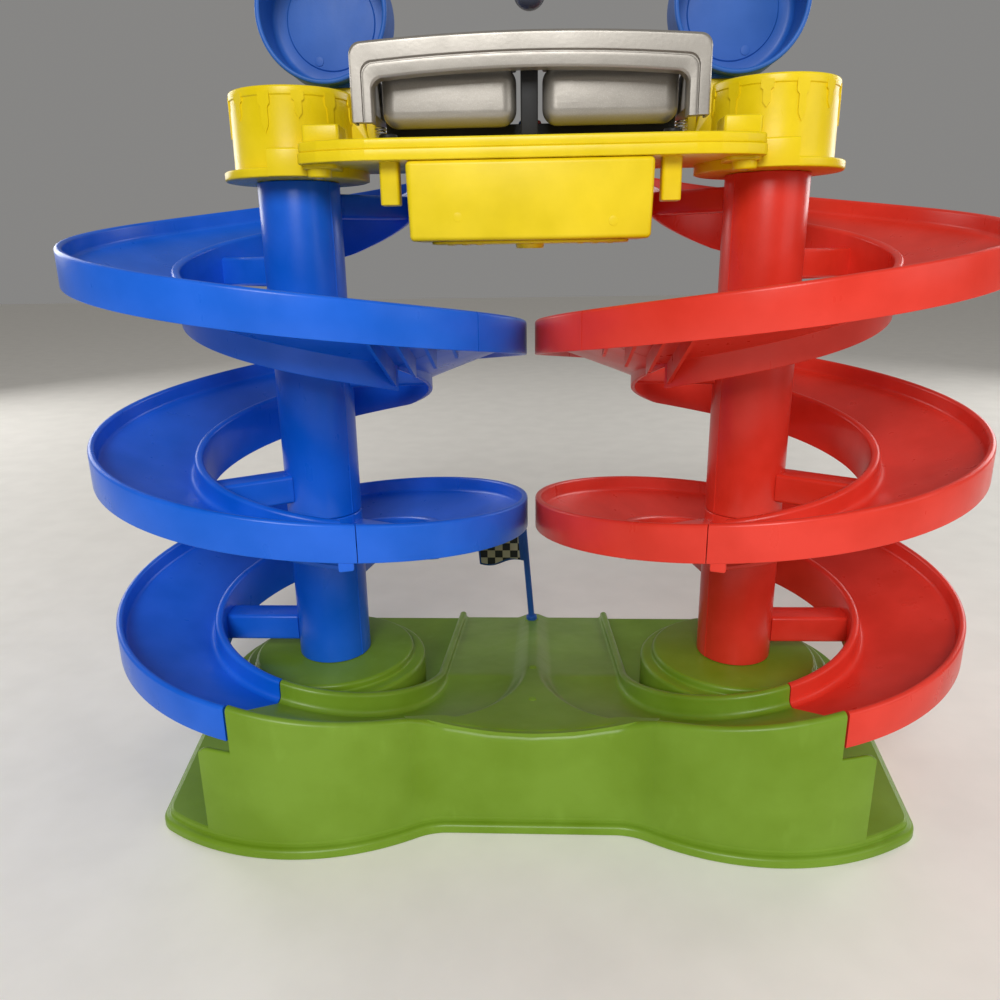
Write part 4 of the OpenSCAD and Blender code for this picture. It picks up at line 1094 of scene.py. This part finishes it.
class RAMPTOY_OT_deck(bpy.types.Operator):
    """Build the deck with its collars, parapets, blocks, pegs and screw posts"""

    bl_idname = "ramptoy.deck"
    bl_label = "Deck"

    def execute(self, context):
        r = plain(context.scene.ramptoy_ramps)
        d = plain(context.scene.ramptoy_deck)
        l = plain(context.scene.ramptoy_launcher)
        top = d.low_z + d.thick
        line = d.low_z + d.thick * 0.52
        tip = r.tower_x - 13.1
        shell = Shell()
        right = [(d.half_w, -d.reach), (d.half_w + 13, -d.reach + 1.6), (d.half_w + 27, -d.reach + 5.2),
                 (tip, -d.reach + 11), (tip, 0), (r.tower_x - d.cap_r, 14), (70, 14), (70, -4.4)]
        rounds = [5, 8, 8, 5, 1, 1, 1, 1]
        outline = fillet(mirrored(right), rounds + rounds[::-1])
        shell.slab(outline, d.low_z, line, 0.7)
        shell.slab(inset(outline, 0.7), line - 0.2, top, 1.2)
        half = Shell()
        self.collar(half, r, d)
        self.parapet(half, r, d, l, top)
        ear = rectangle(l.pivot_y - l.hub_r, top - 3, l.pivot_y + l.hub_r, l.pivot_z + l.hub_r, l.hub_r, 8)
        half.slab(ear, l.half_w - 0.4, l.half_w + 4.6, 0.5, sideways)
        half.block((d.block_x - 10, d.block_y - 9.5, top - 3),
                   (d.block_x + 10, d.block_y + 9.5, top + 8.6), 1.2, 1.8)
        seat = rectangle(d.block_x - 6.5, d.block_y - 7, d.block_x + 12, d.block_y + 16, 5)
        half.slab(seat, d.low_z - 2.2, d.low_z + 1, 0.8)
        foot = d.low_z - d.peg_l
        half.turn(fillet([(0.2, foot), (3.3, foot), (3.3, foot - 2.1), (6.5, foot - 2.1), (6.5, d.low_z + 2),
                          (0.2, d.low_z + 2)], [0, 0, 0.4, 1.6, 0, 0], closed=False),
                  level(d.peg_x, d.block_y), 48)
        self.post(half, d)
        shell.add(twin(half))
        material = plastic("deck_yellow", context.scene.ramptoy_finish.yellow, rough=0.3)
        finish_piece("deck_moulding", shell, material, "stand", ["deck"])
        return {"FINISHED"}

    def post(self, shell, d):
        """A square post with its screw's head set into its foot."""
        foot = d.low_z - d.post_l
        rows = [(0.2, 0.1, foot), (3.3, 3.2, foot), (3.3, 3.2, foot - 1.7), (3.6, 3.2, foot - 2.1),
                (4.5, 1.4, foot - 2.1), (5, 1.6, foot - 1.8), (5.2, 1.8, foot - 1.2), (5.2, 1.8, d.low_z + 2)]
        rings = []
        for reach, corner, z in rows:
            square = rectangle(
                d.post_x - reach, d.post_y - reach, d.post_x + reach, d.post_y + reach, corner, 6
            )
            rings.append([(x, y, z) for x, y in square])
        shell.skin(rings)

    def collar(self, shell, r, d):
        """A band round a cap's inner side, over its flange."""
        skin = d.flange_r + 0.5
        foot = d.low_z - d.flange_h + 0.5
        ring = fillet(
            [(d.cap_r + 0.05, d.low_z + 0.1), (d.flange_r + 0.05, d.low_z + 0.1), (d.flange_r + 0.05, foot),
             (skin, foot), (skin, d.low_z + 9.6), (d.cap_r + 0.05, d.low_z + 9.6)],
            [0, 0, 0, 0.15, 1.4, 0])
        first, last, steps = -7, 150, 48
        shell.skin([
            swung(ring, -math.radians(mix(first, last, i / steps)), r.tower_x) for i in range(steps + 1)
        ])

    def parapet(self, shell, r, d, l, top):
        edge = l.half_w + 0.3
        inner = r.tower_x - 38.5
        outer = inner + 15
        outline = [(edge, top - 2), (outer, top - 2), (outer, d.parapet_z), (inner, d.parapet_z)]
        for k in range(1, 8):
            t = k / 8
            outline.append((mix(inner, edge, t), mix(d.parapet_z, top + 2, math.sin(t * math.pi / 2))))
        shell.slab(fillet(outline, 0.8, 2), -5, 5, 1, upright)


class RAMPTOY_OT_battery_box(bpy.types.Operator):
    """Build the battery box and its door"""

    bl_idname = "ramptoy.battery_box"
    bl_label = "Battery box"

    def execute(self, context):
        d = plain(context.scene.ramptoy_deck)
        finish = context.scene.ramptoy_finish
        material = plastic("box_yellow", finish.yellow, rough=0.34)
        low, high = cad_box("battery_box")
        box = Shell()
        front = low.y - 1
        outline = rectangle(low.x, front, high.x, high.y, 3.2)
        box.slab(outline, low.z, high.z - 0.1, 2.6, draft=d.box_draft, steps=6)
        ejector_marks = ((-38, 12), (44, 9))
        for x, z in ejector_marks:
            box.turn(rounded_rod(2.6, front + 0.6, front + 3, 0.3), along_y(x, low.z + z), 32)
        finish_piece("battery_case", box, material, "stand", ["battery_box"])
        low, high = cad_box("battery_door")
        door = Shell()
        plate = rectangle(low.x, low.y, high.x, high.y, 4)
        door.slab(plate, low.z + 2.5, high.z - 0.05, 0.5)
        middle = (low + high) / 2
        door.turn(fillet([(3, low.z + 2), (4.4, low.z), (7.6, low.z), (8, low.z + 2.6), (3, low.z + 2.7)],
                         [0, 0.4, 0.5, 0.3, 0], closed=False), level(middle.x, middle.y), 48)
        grips = (-44, -36, -28, 28, 36, 44)
        for x in grips:
            grip = rectangle(x - 1.6, middle.y - 10, x + 1.6, middle.y + 10, 1.4)
            door.slab(grip, low.z + 2.1, low.z + 2.8, 0.3)
        finish_piece("battery_lid", door, material, "stand", ["battery_door"])
        return {"FINISHED"}


class RAMPTOY_OT_launcher(bpy.types.Operator):
    """Build the launcher's frame, both pads and the start lever"""

    bl_idname = "ramptoy.launcher"
    bl_label = "Launcher"

    def execute(self, context):
        l = plain(context.scene.ramptoy_launcher)
        finish = context.scene.ramptoy_finish
        self.frame(finish)
        silver = plastic("lever_silver", finish.silver, rough=0.36, flake=0.16, metal=0.6, mottle=0.05)
        for side in ("left", "right"):
            self.pad(l, side, silver)
        self.lever(l, silver)
        return {"FINISHED"}

    def frame(self, finish):
        low, high = cad_box("launcher_frame")
        shell = Shell()
        half = Shell()
        out = 78.8
        # The cheeks lean back and the sill stands at their foot, clear of the pads' swing.
        front = low.y + 3
        rear = low.y + 23.2
        lug = high.z - 13.4
        cheek = [(rear, low.z), (high.y, low.z), (high.y, high.z), (front, high.z), (front, lug),
                 (low.y + 14.2, lug), (rear, low.z + 8)]
        half.slab(fillet(cheek, [1, 2.5, 2.5, 2.5, 2.5, 2, 2]), out - 3, out, 0.6, sideways)
        half.turn(rounded_rod(5, low.z, low.z + 3, 0.8), level(75, -45), 40)
        shell.add(twin(half))
        shell.slab(rectangle(low.y, low.z, high.y, high.z - 1, 1.5), -4.5, 4.5, 0.8, sideways)
        shell.slab(rectangle(-out, front, out, high.y, 2.5), high.z - 3, high.z, 0.6)
        shell.slab(rectangle(2 - out, low.z, out - 2, low.z + 9.5, 1), rear, rear + 3, 0.5, upright)
        material = plastic("frame_black", finish.black, rough=0.5)
        finish_piece("launcher_housing", shell, material, "stand", ["launcher_frame"])

    def pad(self, l, side, material):
        """A pillow-faced pad that hangs from its knuckle."""
        low, high = cad_box(f"{side}_launch_pad")
        shell = Shell()
        front = low.y
        top = high.z - 7.7
        left, right = low.x, high.x
        if side == "left":
            left -= l.pad_flare
        else:
            right += l.pad_flare
        outline = rectangle(left, low.z, right, top, l.pad_corner, 8)
        rings = []
        steps = 9
        for k in range(steps + 1):
            a = math.pi / 2 * k / steps
            rings.append((l.pad_round * (1 - math.sin(a)), front + l.pad_round * (1 - math.cos(a))))
        rings += [(0, front + 8.6), (0.5, front + 9.6), (1.4, front + 10)]
        shell.skin([[(x, y, z) for x, z in inset(outline, gap)] for gap, y in rings])
        knuckle_r = 5.15
        axle_y, axle_z = front + 8, high.z - 5.2
        shell.turn(rounded_rod(knuckle_r, low.x + 0.05, high.x - 0.05, 0.8), along_x(axle_y, axle_z), 40)
        shell.block((low.x + 8, axle_y - 4, top - 3), (high.x - 8, axle_y + 2.4, top + 2), 0.5, 0.8)
        finish_piece(f"{side}_pad", shell, material, f"{side}_pad", [f"{side}_launch_pad"])

    def lever(self, l, material):
        """A bail: pairs of points on its opening and its outer edge carry one stepped section."""
        opening = l.half_w - l.leg_w
        under = l.top_z - l.bar_h
        corner = 6.0
        pairs = []
        for k in range(9):
            t = k / 8
            pairs.append(((opening, mix(l.low_z, under - l.sag - corner, t)),
                          (l.half_w, mix(l.low_z, l.top_z - l.sag - corner, t))))
        for k in range(1, 9):
            a = math.pi / 2 * k / 8
            pairs.append((
                (opening - corner * (1 - math.cos(a)), under - l.sag - corner + corner * math.sin(a)),
                (l.half_w - corner * (1 - math.cos(a)), l.top_z - l.sag - corner + corner * math.sin(a)),
            ))
        inner_x, outer_x = pairs[-1][0][0], pairs[-1][1][0]
        for k in range(1, 25):
            t = 1 - k / 24
            rise = l.sag * (1 - t * t)
            pairs.append(((inner_x * t, under - l.sag + rise), (outer_x * t, l.top_z - l.sag + rise)))
        pairs = [((-a[0], a[1]), (-b[0], b[1])) for a, b in pairs] + list(reversed(pairs[:-1]))
        section = fillet(
            [(0, 10), (0, 2.2), (0.06, 1.3), (0.38, 1.0), (0.43, 2.0), (0.47, 0.1), (0.93, 0), (1, 1.2),
             (1, 12), (0.87, 12), (0.87, 3), (0.5, 3), (0.14, 4), (0.14, 10)],
            [0, 0, 0.05, 0.05, 0.03, 0.03, 0.05, 0.05, 0, 0, 0, 0, 0, 0], 2)
        shell = Shell()
        shell.skin([
            [(mix(a[0], b[0], u), l.bar_y + depth, mix(a[1], b[1], u)) for u, depth in section]
            for a, b in pairs
        ])
        half = Shell()
        leg = rectangle(opening + 1.2, l.low_z + 0.6, l.half_w - 1.2, l.top_z - l.sag - 5, 1)
        half.slab(leg, l.bar_y + 3, l.bar_y + l.bar_d - 0.8, 0.3, upright)
        rear = l.bar_y + l.bar_d - 3
        arm_in, arm_out = 80.6, 88.1
        outline = [(rear, l.low_z + 6), (l.pivot_y, l.pivot_z - l.hub_r)]
        outline += arc((l.pivot_y, l.pivot_z), l.hub_r, -88, 88, 20)
        outline += [(l.pivot_y, l.pivot_z + l.hub_r), (rear, l.top_z - l.sag - 7)]
        half.slab(outline, arm_in, arm_out, 0.8, sideways, steps=2)
        shell.add(twin(half))
        finish_piece("start_bail", shell, material, "start_lever", ["start_lever"])


class RAMPTOY_OT_signs(bpy.types.Operator):
    """Build the round signs, the bar between them and the start lamp"""

    bl_idname = "ramptoy.signs"
    bl_label = "Signs and lamp"

    def execute(self, context):
        s = plain(context.scene.ramptoy_signs)
        d = plain(context.scene.ramptoy_deck)
        finish = context.scene.ramptoy_finish
        blue = plastic("sign_blue", finish.sign_blue, rough=0.45)
        rear = s.front_y + s.depth
        floor = rear - s.wall - 0.8
        disc_r = 25
        dish = Shell()
        dish.turn(fillet(
            [(0.3, floor), (disc_r, floor), (disc_r + 0.6, rear - s.wall),
             (s.sign_r - s.wall - 0.4, rear - s.wall), (s.sign_r - s.wall, s.front_y + 3),
             (s.sign_r - 2.9, s.front_y), (s.sign_r, s.front_y), (s.sign_r, s.front_y + 2.6),
             (s.sign_r - 0.5, s.front_y + 3.2), (s.sign_r - 0.05, rear), (s.sign_r - 4, rear),
             (s.sign_r - 5, rear - 0.7), (0.3, rear - 0.7)],
            [0, 0.3, 0.3, 3.5, 1, 1.2, 1.2, 0.4, 0.5, 2, 0.4, 0.4, 0], closed=False),
            along_y(s.sign_x, s.sign_z), 112)
        tab = [(s.sign_x - 15, d.parapet_z), (s.sign_x, d.parapet_z)]
        tab += arc((s.sign_x, s.sign_z), s.sign_r - 1, -90, -115, 10)
        dish.slab(tab, -5, 5, 0.3, upright, steps=2)
        dish.turn(rounded_rod(2.6, floor - 0.35, floor + 1, 0.15), along_y(s.sign_x + 8.3, s.sign_z - 20), 32)
        for side, mirror in (("left", True), ("right", False)):
            shell = Shell()
            shell.add(dish, mirror=mirror)
            finish_piece(f"{side}_dish", shell, blue, "stand", [f"{side}_sign"])
        low, high = cad_box("gantry_bar")
        bar = Shell()
        edge = rectangle(low.y, low.z, high.y, high.z, 2.2)
        ends = [
            s.sign_x - math.sqrt(max((s.sign_r - 0.5) ** 2 - (z - s.sign_z) ** 2, 16)) for _, z in edge
        ]
        steps = 16
        bar.skin([
            [(mix(-end, end, k / steps), y, z) for end, (y, z) in zip(ends, edge)] for k in range(steps + 1)
        ])
        finish_piece("sign_bar", bar, blue, "stand", ["gantry_bar"])
        low, high = cad_box("start_lamp")
        middle = (low + high) / 2
        radius = (high.x - low.x) / 2
        profile = []
        for k in range(25):
            a = math.radians(mix(-88, 62, k / 24))
            profile.append((radius * math.cos(a), low.z + radius + radius * math.sin(a)))
        profile += [(radius * 0.48, low.z + radius * 1.95), (radius * 0.5, high.z - 6), (0.3, high.z - 6)]
        lamp = Shell()
        lamp.turn(profile, level(middle.x, middle.y), 64)
        waist = low.z + radius
        band = [(radius - 1, waist - 1.6), (radius - 0.05, waist - 1.2), (radius - 0.05, waist + 1.2),
                (radius - 1, waist + 1.6)]
        lamp.turn(fillet(band, 0.4), level(middle.x, middle.y), 64, loop=True)
        slate = plastic("lamp_slate", finish.slate, rough=0.25)
        finish_piece("lamp", lamp, slate, "stand", ["start_lamp"])
        return {"FINISHED"}


class RAMPTOY_OT_flag(bpy.types.Operator):
    """Build the flag on its leaning pole"""

    bl_idname = "ramptoy.flag"
    bl_label = "Flag"

    def execute(self, context):
        s = plain(context.scene.ramptoy_signs)
        b = plain(context.scene.ramptoy_base)
        finish = context.scene.ramptoy_finish
        foot = mix(b.ridge_mid, b.ridge_end, s.flag_y / b.exit_y)
        shell = Shell()
        shell.turn(rounded_rod(s.pole_r, -6, s.pole_l, 1.4), steps=40)
        shell.turn(fillet([(0.3, -1), (s.pole_r + 2, -1), (s.pole_r + 2, 4), (s.pole_r, 4.6), (0.3, 4.6)],
                          [0, 0.5, 1, 0.4, 0], closed=False), steps=40)
        top = s.pole_l - 2
        count = 20
        line = []
        for i in range(count + 1):
            t = i / count
            line.append((mix(-1.5, -s.flag_l, t), 2 * math.sin(2 * math.pi * t)))
        outline = [(x, top + z) for x, z in line] + [(x, top - s.flag_h + z) for x, z in reversed(line)]
        shell.slab(fillet(outline, 1.2, 2), -s.flag_t / 2, s.flag_t / 2, 0.5, upright, steps=2)
        lean = Matrix.Rotation(-math.radians(s.pole_lean), 4, "Y")
        shell.tilt(Matrix.Translation((s.flag_x, s.flag_y, foot)) @ lean)
        material = plastic("flag_blue", finish.flag_blue, rough=0.34)
        finish_piece("flag_and_pole", shell, material, "stand", ["flag"])
        ink, paper = (0.02, 0.02, 0.024), (0.62, 0.6, 0.42)
        coat("flag_labels", checkered("flag_check", ink, paper, s.check * MM))
        return {"FINISHED"}


class RAMPTOY_OT_fasteners(bpy.types.Operator):
    """Build the screws with their cross recesses"""

    bl_idname = "ramptoy.fasteners"
    bl_label = "Screws"

    def execute(self, context):
        steel = plastic("screw_steel", (0.56, 0.55, 0.53), rough=0.28, metal=1.0, mottle=0.1)
        for node in ("deck_screws", "launcher_screws", "box_screws", "door_screw"):
            low, high = cad_box(node)
            shell = Shell()
            radius = 2.8
            xs = sorted({round(x, 3) for x in (low.x + radius, high.x - radius)})
            ys = sorted({round(y, 3) for y in (low.y + radius, high.y - radius)})
            for x in xs:
                for y in ys:
                    self.screw(shell, x, y, low.z, high.z, radius)
            finish_piece(f"{node}_steel", shell, steel, "stand", [node])
        return {"FINISHED"}

    def screw(self, shell, x, y, low, high, radius):
        """A screw seen from below: the walls of its cross recess, its head and its shank."""
        head = radius * 0.7
        star = []
        for k in range(4):
            a = math.radians(90 * k)
            for u, v in ((0.5, -0.5), (1.9, -0.5), (1.9, 0.5)):
                star.append((u * math.cos(a) - v * math.sin(a), u * math.sin(a) + v * math.cos(a)))
        ring = []
        for u, v in star:
            a = math.atan2(v, u)
            ring.append((math.cos(a), math.sin(a)))
        shank = 1.4
        rows = (
            (star, 0.55, low + 1.2), (star, 1, low + 0.12), (ring, 2.3, low + 0.05),
            (ring, radius, low + 0.6), (ring, radius, low + head), (ring, shank, low + head),
            (ring, shank, high - 1), (ring, 0.6, high - 0.05),
        )
        shell.skin([[(x + u * size, y + v * size, z) for u, v in line] for line, size, z in rows])


class RAMPTOY_OT_inside(bpy.types.Operator):
    """Wind the lever's springs and give the other inner parts their materials"""

    bl_idname = "ramptoy.inside"
    bl_label = "Inner parts"

    def execute(self, context):
        steel = plastic("pin_steel", (0.55, 0.54, 0.52), rough=0.25, metal=1.0, mottle=0.1)
        for node in ("lever_pins", "pad_axle", "contact_plates"):
            coat(node, steel)
        self.springs(steel)
        coat("battery_cells", plastic("cell_wrap", (0.03, 0.032, 0.036), rough=0.3))
        coat("circuit_board", plastic("board_green", (0.02, 0.11, 0.04), rough=0.4, flake=0.2))
        coat("speaker", plastic("speaker_black", (0.02, 0.02, 0.02), rough=0.6))
        return {"FINISHED"}

    def springs(self, material):
        """Two wound springs under the lever's arms."""
        low, high = cad_box("lever_springs")
        wire = 0.5
        turns, steps, sides = 6, 144, 10
        coil = (high.y - low.y) / 2 - wire
        x, y = high.x - coil - wire, (low.y + high.y) / 2
        rings = []
        for i in range(steps + 1):
            turn = 2 * math.pi * turns * i / steps
            middle = mix(low.z + wire, high.z - wire, i / steps)
            ring = []
            for k in range(sides):
                a = 2 * math.pi * k / sides
                r = coil + wire * math.cos(a)
                ring.append((x + r * math.cos(turn), y + r * math.sin(turn), middle + wire * math.sin(a)))
            rings.append(ring)
        half = Shell()
        half.skin(rings)
        obj = finish_piece("return_springs", twin(half), material, "stand", ["lever_springs"])
        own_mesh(obj)


class RAMPTOY_OT_stage(bpy.types.Operator):
    """Set the floor, the lights and the camera"""

    bl_idname = "ramptoy.stage"
    bl_label = "Stage"

    def execute(self, context):
        stage = context.scene.ramptoy_stage
        self.ground(context, stage)
        for name, place, size, power in (
            ("key", (-0.2, -2.1, 1.4), 0.9, stage.key),
            ("fill", (1.1, -0.7, 0.7), 0.8, stage.fill),
            ("rear_left", (-1.5, 1.1, 0.8), 0.8, stage.rear),
            ("rear_right", (1.5, 1.1, 0.8), 0.8, stage.rear),
        ):
            self.light(context, name, place, size, power)
        world = bpy.data.worlds.new("studio")
        context.scene.world = world
        world.use_nodes = True
        sky = world.node_tree.nodes["Background"]
        sky.inputs["Color"].default_value = (1, 0.985, 0.96, 1)
        sky.inputs["Strength"].default_value = stage.world
        self.camera(context, stage)
        return {"FINISHED"}

    def ground(self, context, stage):
        reach = 6
        mesh = bpy.data.meshes.new("floor")
        corners = [(-reach, -reach, 0), (reach, -reach, 0), (reach, reach, 0), (-reach, reach, 0)]
        mesh.from_pydata(corners, [], [(0, 1, 2, 3)])
        mesh.materials.append(plastic("floor_pale", stage.floor, rough=0.6, mottle=0.02, grain=0.02))
        floor = bpy.data.objects.new("floor", mesh)
        context.scene.collection.objects.link(floor)

    def light(self, context, name, place, size, power):
        """A square lamp aimed at the middle of the toy."""
        lamp = bpy.data.lights.new(name, "AREA")
        lamp.size = size
        lamp.energy = power
        obj = bpy.data.objects.new(name, lamp)
        obj.location = place
        aim = Vector((0, 0, 0.2)) - Vector(place)
        obj.rotation_euler = aim.to_track_quat("-Z", "Y").to_euler()
        context.scene.collection.objects.link(obj)

    def camera(self, context, stage):
        ahead = Vector((
            -math.sin(stage.yaw) * math.cos(stage.pitch),
            math.cos(stage.yaw) * math.cos(stage.pitch),
            -math.sin(stage.pitch),
        ))
        level_right = Vector((math.cos(stage.yaw), math.sin(stage.yaw), 0))
        level_up = level_right.cross(ahead)
        right = level_right * math.cos(stage.roll) - level_up * math.sin(stage.roll)
        up = level_right * math.sin(stage.roll) + level_up * math.cos(stage.roll)
        data = bpy.data.cameras.new("photo_camera")
        data.lens = stage.lens
        data.sensor_width = 36
        data.clip_start = 0.01
        camera = bpy.data.objects.new("photo_camera", data)
        turn = Matrix((right, up, -ahead)).transposed().to_4x4()
        place = Matrix.Translation((stage.camera_x, stage.camera_y, stage.camera_z))
        camera.matrix_world = place @ turn
        context.scene.collection.objects.link(camera)
        context.scene.camera = camera
        context.scene.view_settings.view_transform = "Standard"


STEPS = (
    RAMPTOY_OT_ramps, RAMPTOY_OT_base, RAMPTOY_OT_caps, RAMPTOY_OT_deck, RAMPTOY_OT_battery_box,
    RAMPTOY_OT_launcher, RAMPTOY_OT_signs, RAMPTOY_OT_flag, RAMPTOY_OT_fasteners, RAMPTOY_OT_inside,
    RAMPTOY_OT_stage,
)
GROUPS = {
    "ramptoy_ramps": RampSizes, "ramptoy_base": BaseSizes, "ramptoy_deck": DeckSizes,
    "ramptoy_launcher": LauncherSizes, "ramptoy_signs": SignSizes, "ramptoy_finish": Finish,
    "ramptoy_stage": Stage,
}


class RAMPTOY_PT_panel(bpy.types.Panel):
    bl_label = "Car Ramp"
    bl_idname = "RAMPTOY_PT_panel"
    bl_space_type = "VIEW_3D"
    bl_region_type = "UI"
    bl_category = "Car Ramp"

    def draw(self, context):
        for step in STEPS:
            self.layout.operator(step.bl_idname)
        for name in GROUPS:
            group = getattr(context.scene, name)
            box = self.layout.box()
            box.label(text=name.removeprefix("ramptoy_").capitalize())
            for prop in group.bl_rna.properties:
                if prop.identifier not in ("rna_type", "name"):
                    box.prop(group, prop.identifier)


def register():
    for name, group in GROUPS.items():
        bpy.utils.register_class(group)
        setattr(bpy.types.Scene, name, bpy.props.PointerProperty(type=group))
    for step in STEPS:
        bpy.utils.register_class(step)
    bpy.utils.register_class(RAMPTOY_PT_panel)


def unregister():
    bpy.utils.unregister_class(RAMPTOY_PT_panel)
    for step in reversed(STEPS):
        bpy.utils.unregister_class(step)
    for name, group in reversed(GROUPS.items()):
        delattr(bpy.types.Scene, name)
        bpy.utils.unregister_class(group)


def main():
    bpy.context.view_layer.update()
    register()
    bpy.ops.ramptoy.ramps()
    bpy.ops.ramptoy.base()
    bpy.ops.ramptoy.caps()
    bpy.ops.ramptoy.deck()
    bpy.ops.ramptoy.battery_box()
    bpy.ops.ramptoy.launcher()
    bpy.ops.ramptoy.signs()
    bpy.ops.ramptoy.flag()
    bpy.ops.ramptoy.fasteners()
    bpy.ops.ramptoy.inside()
    bpy.ops.ramptoy.stage()


if __name__ == "__main__":
    main()
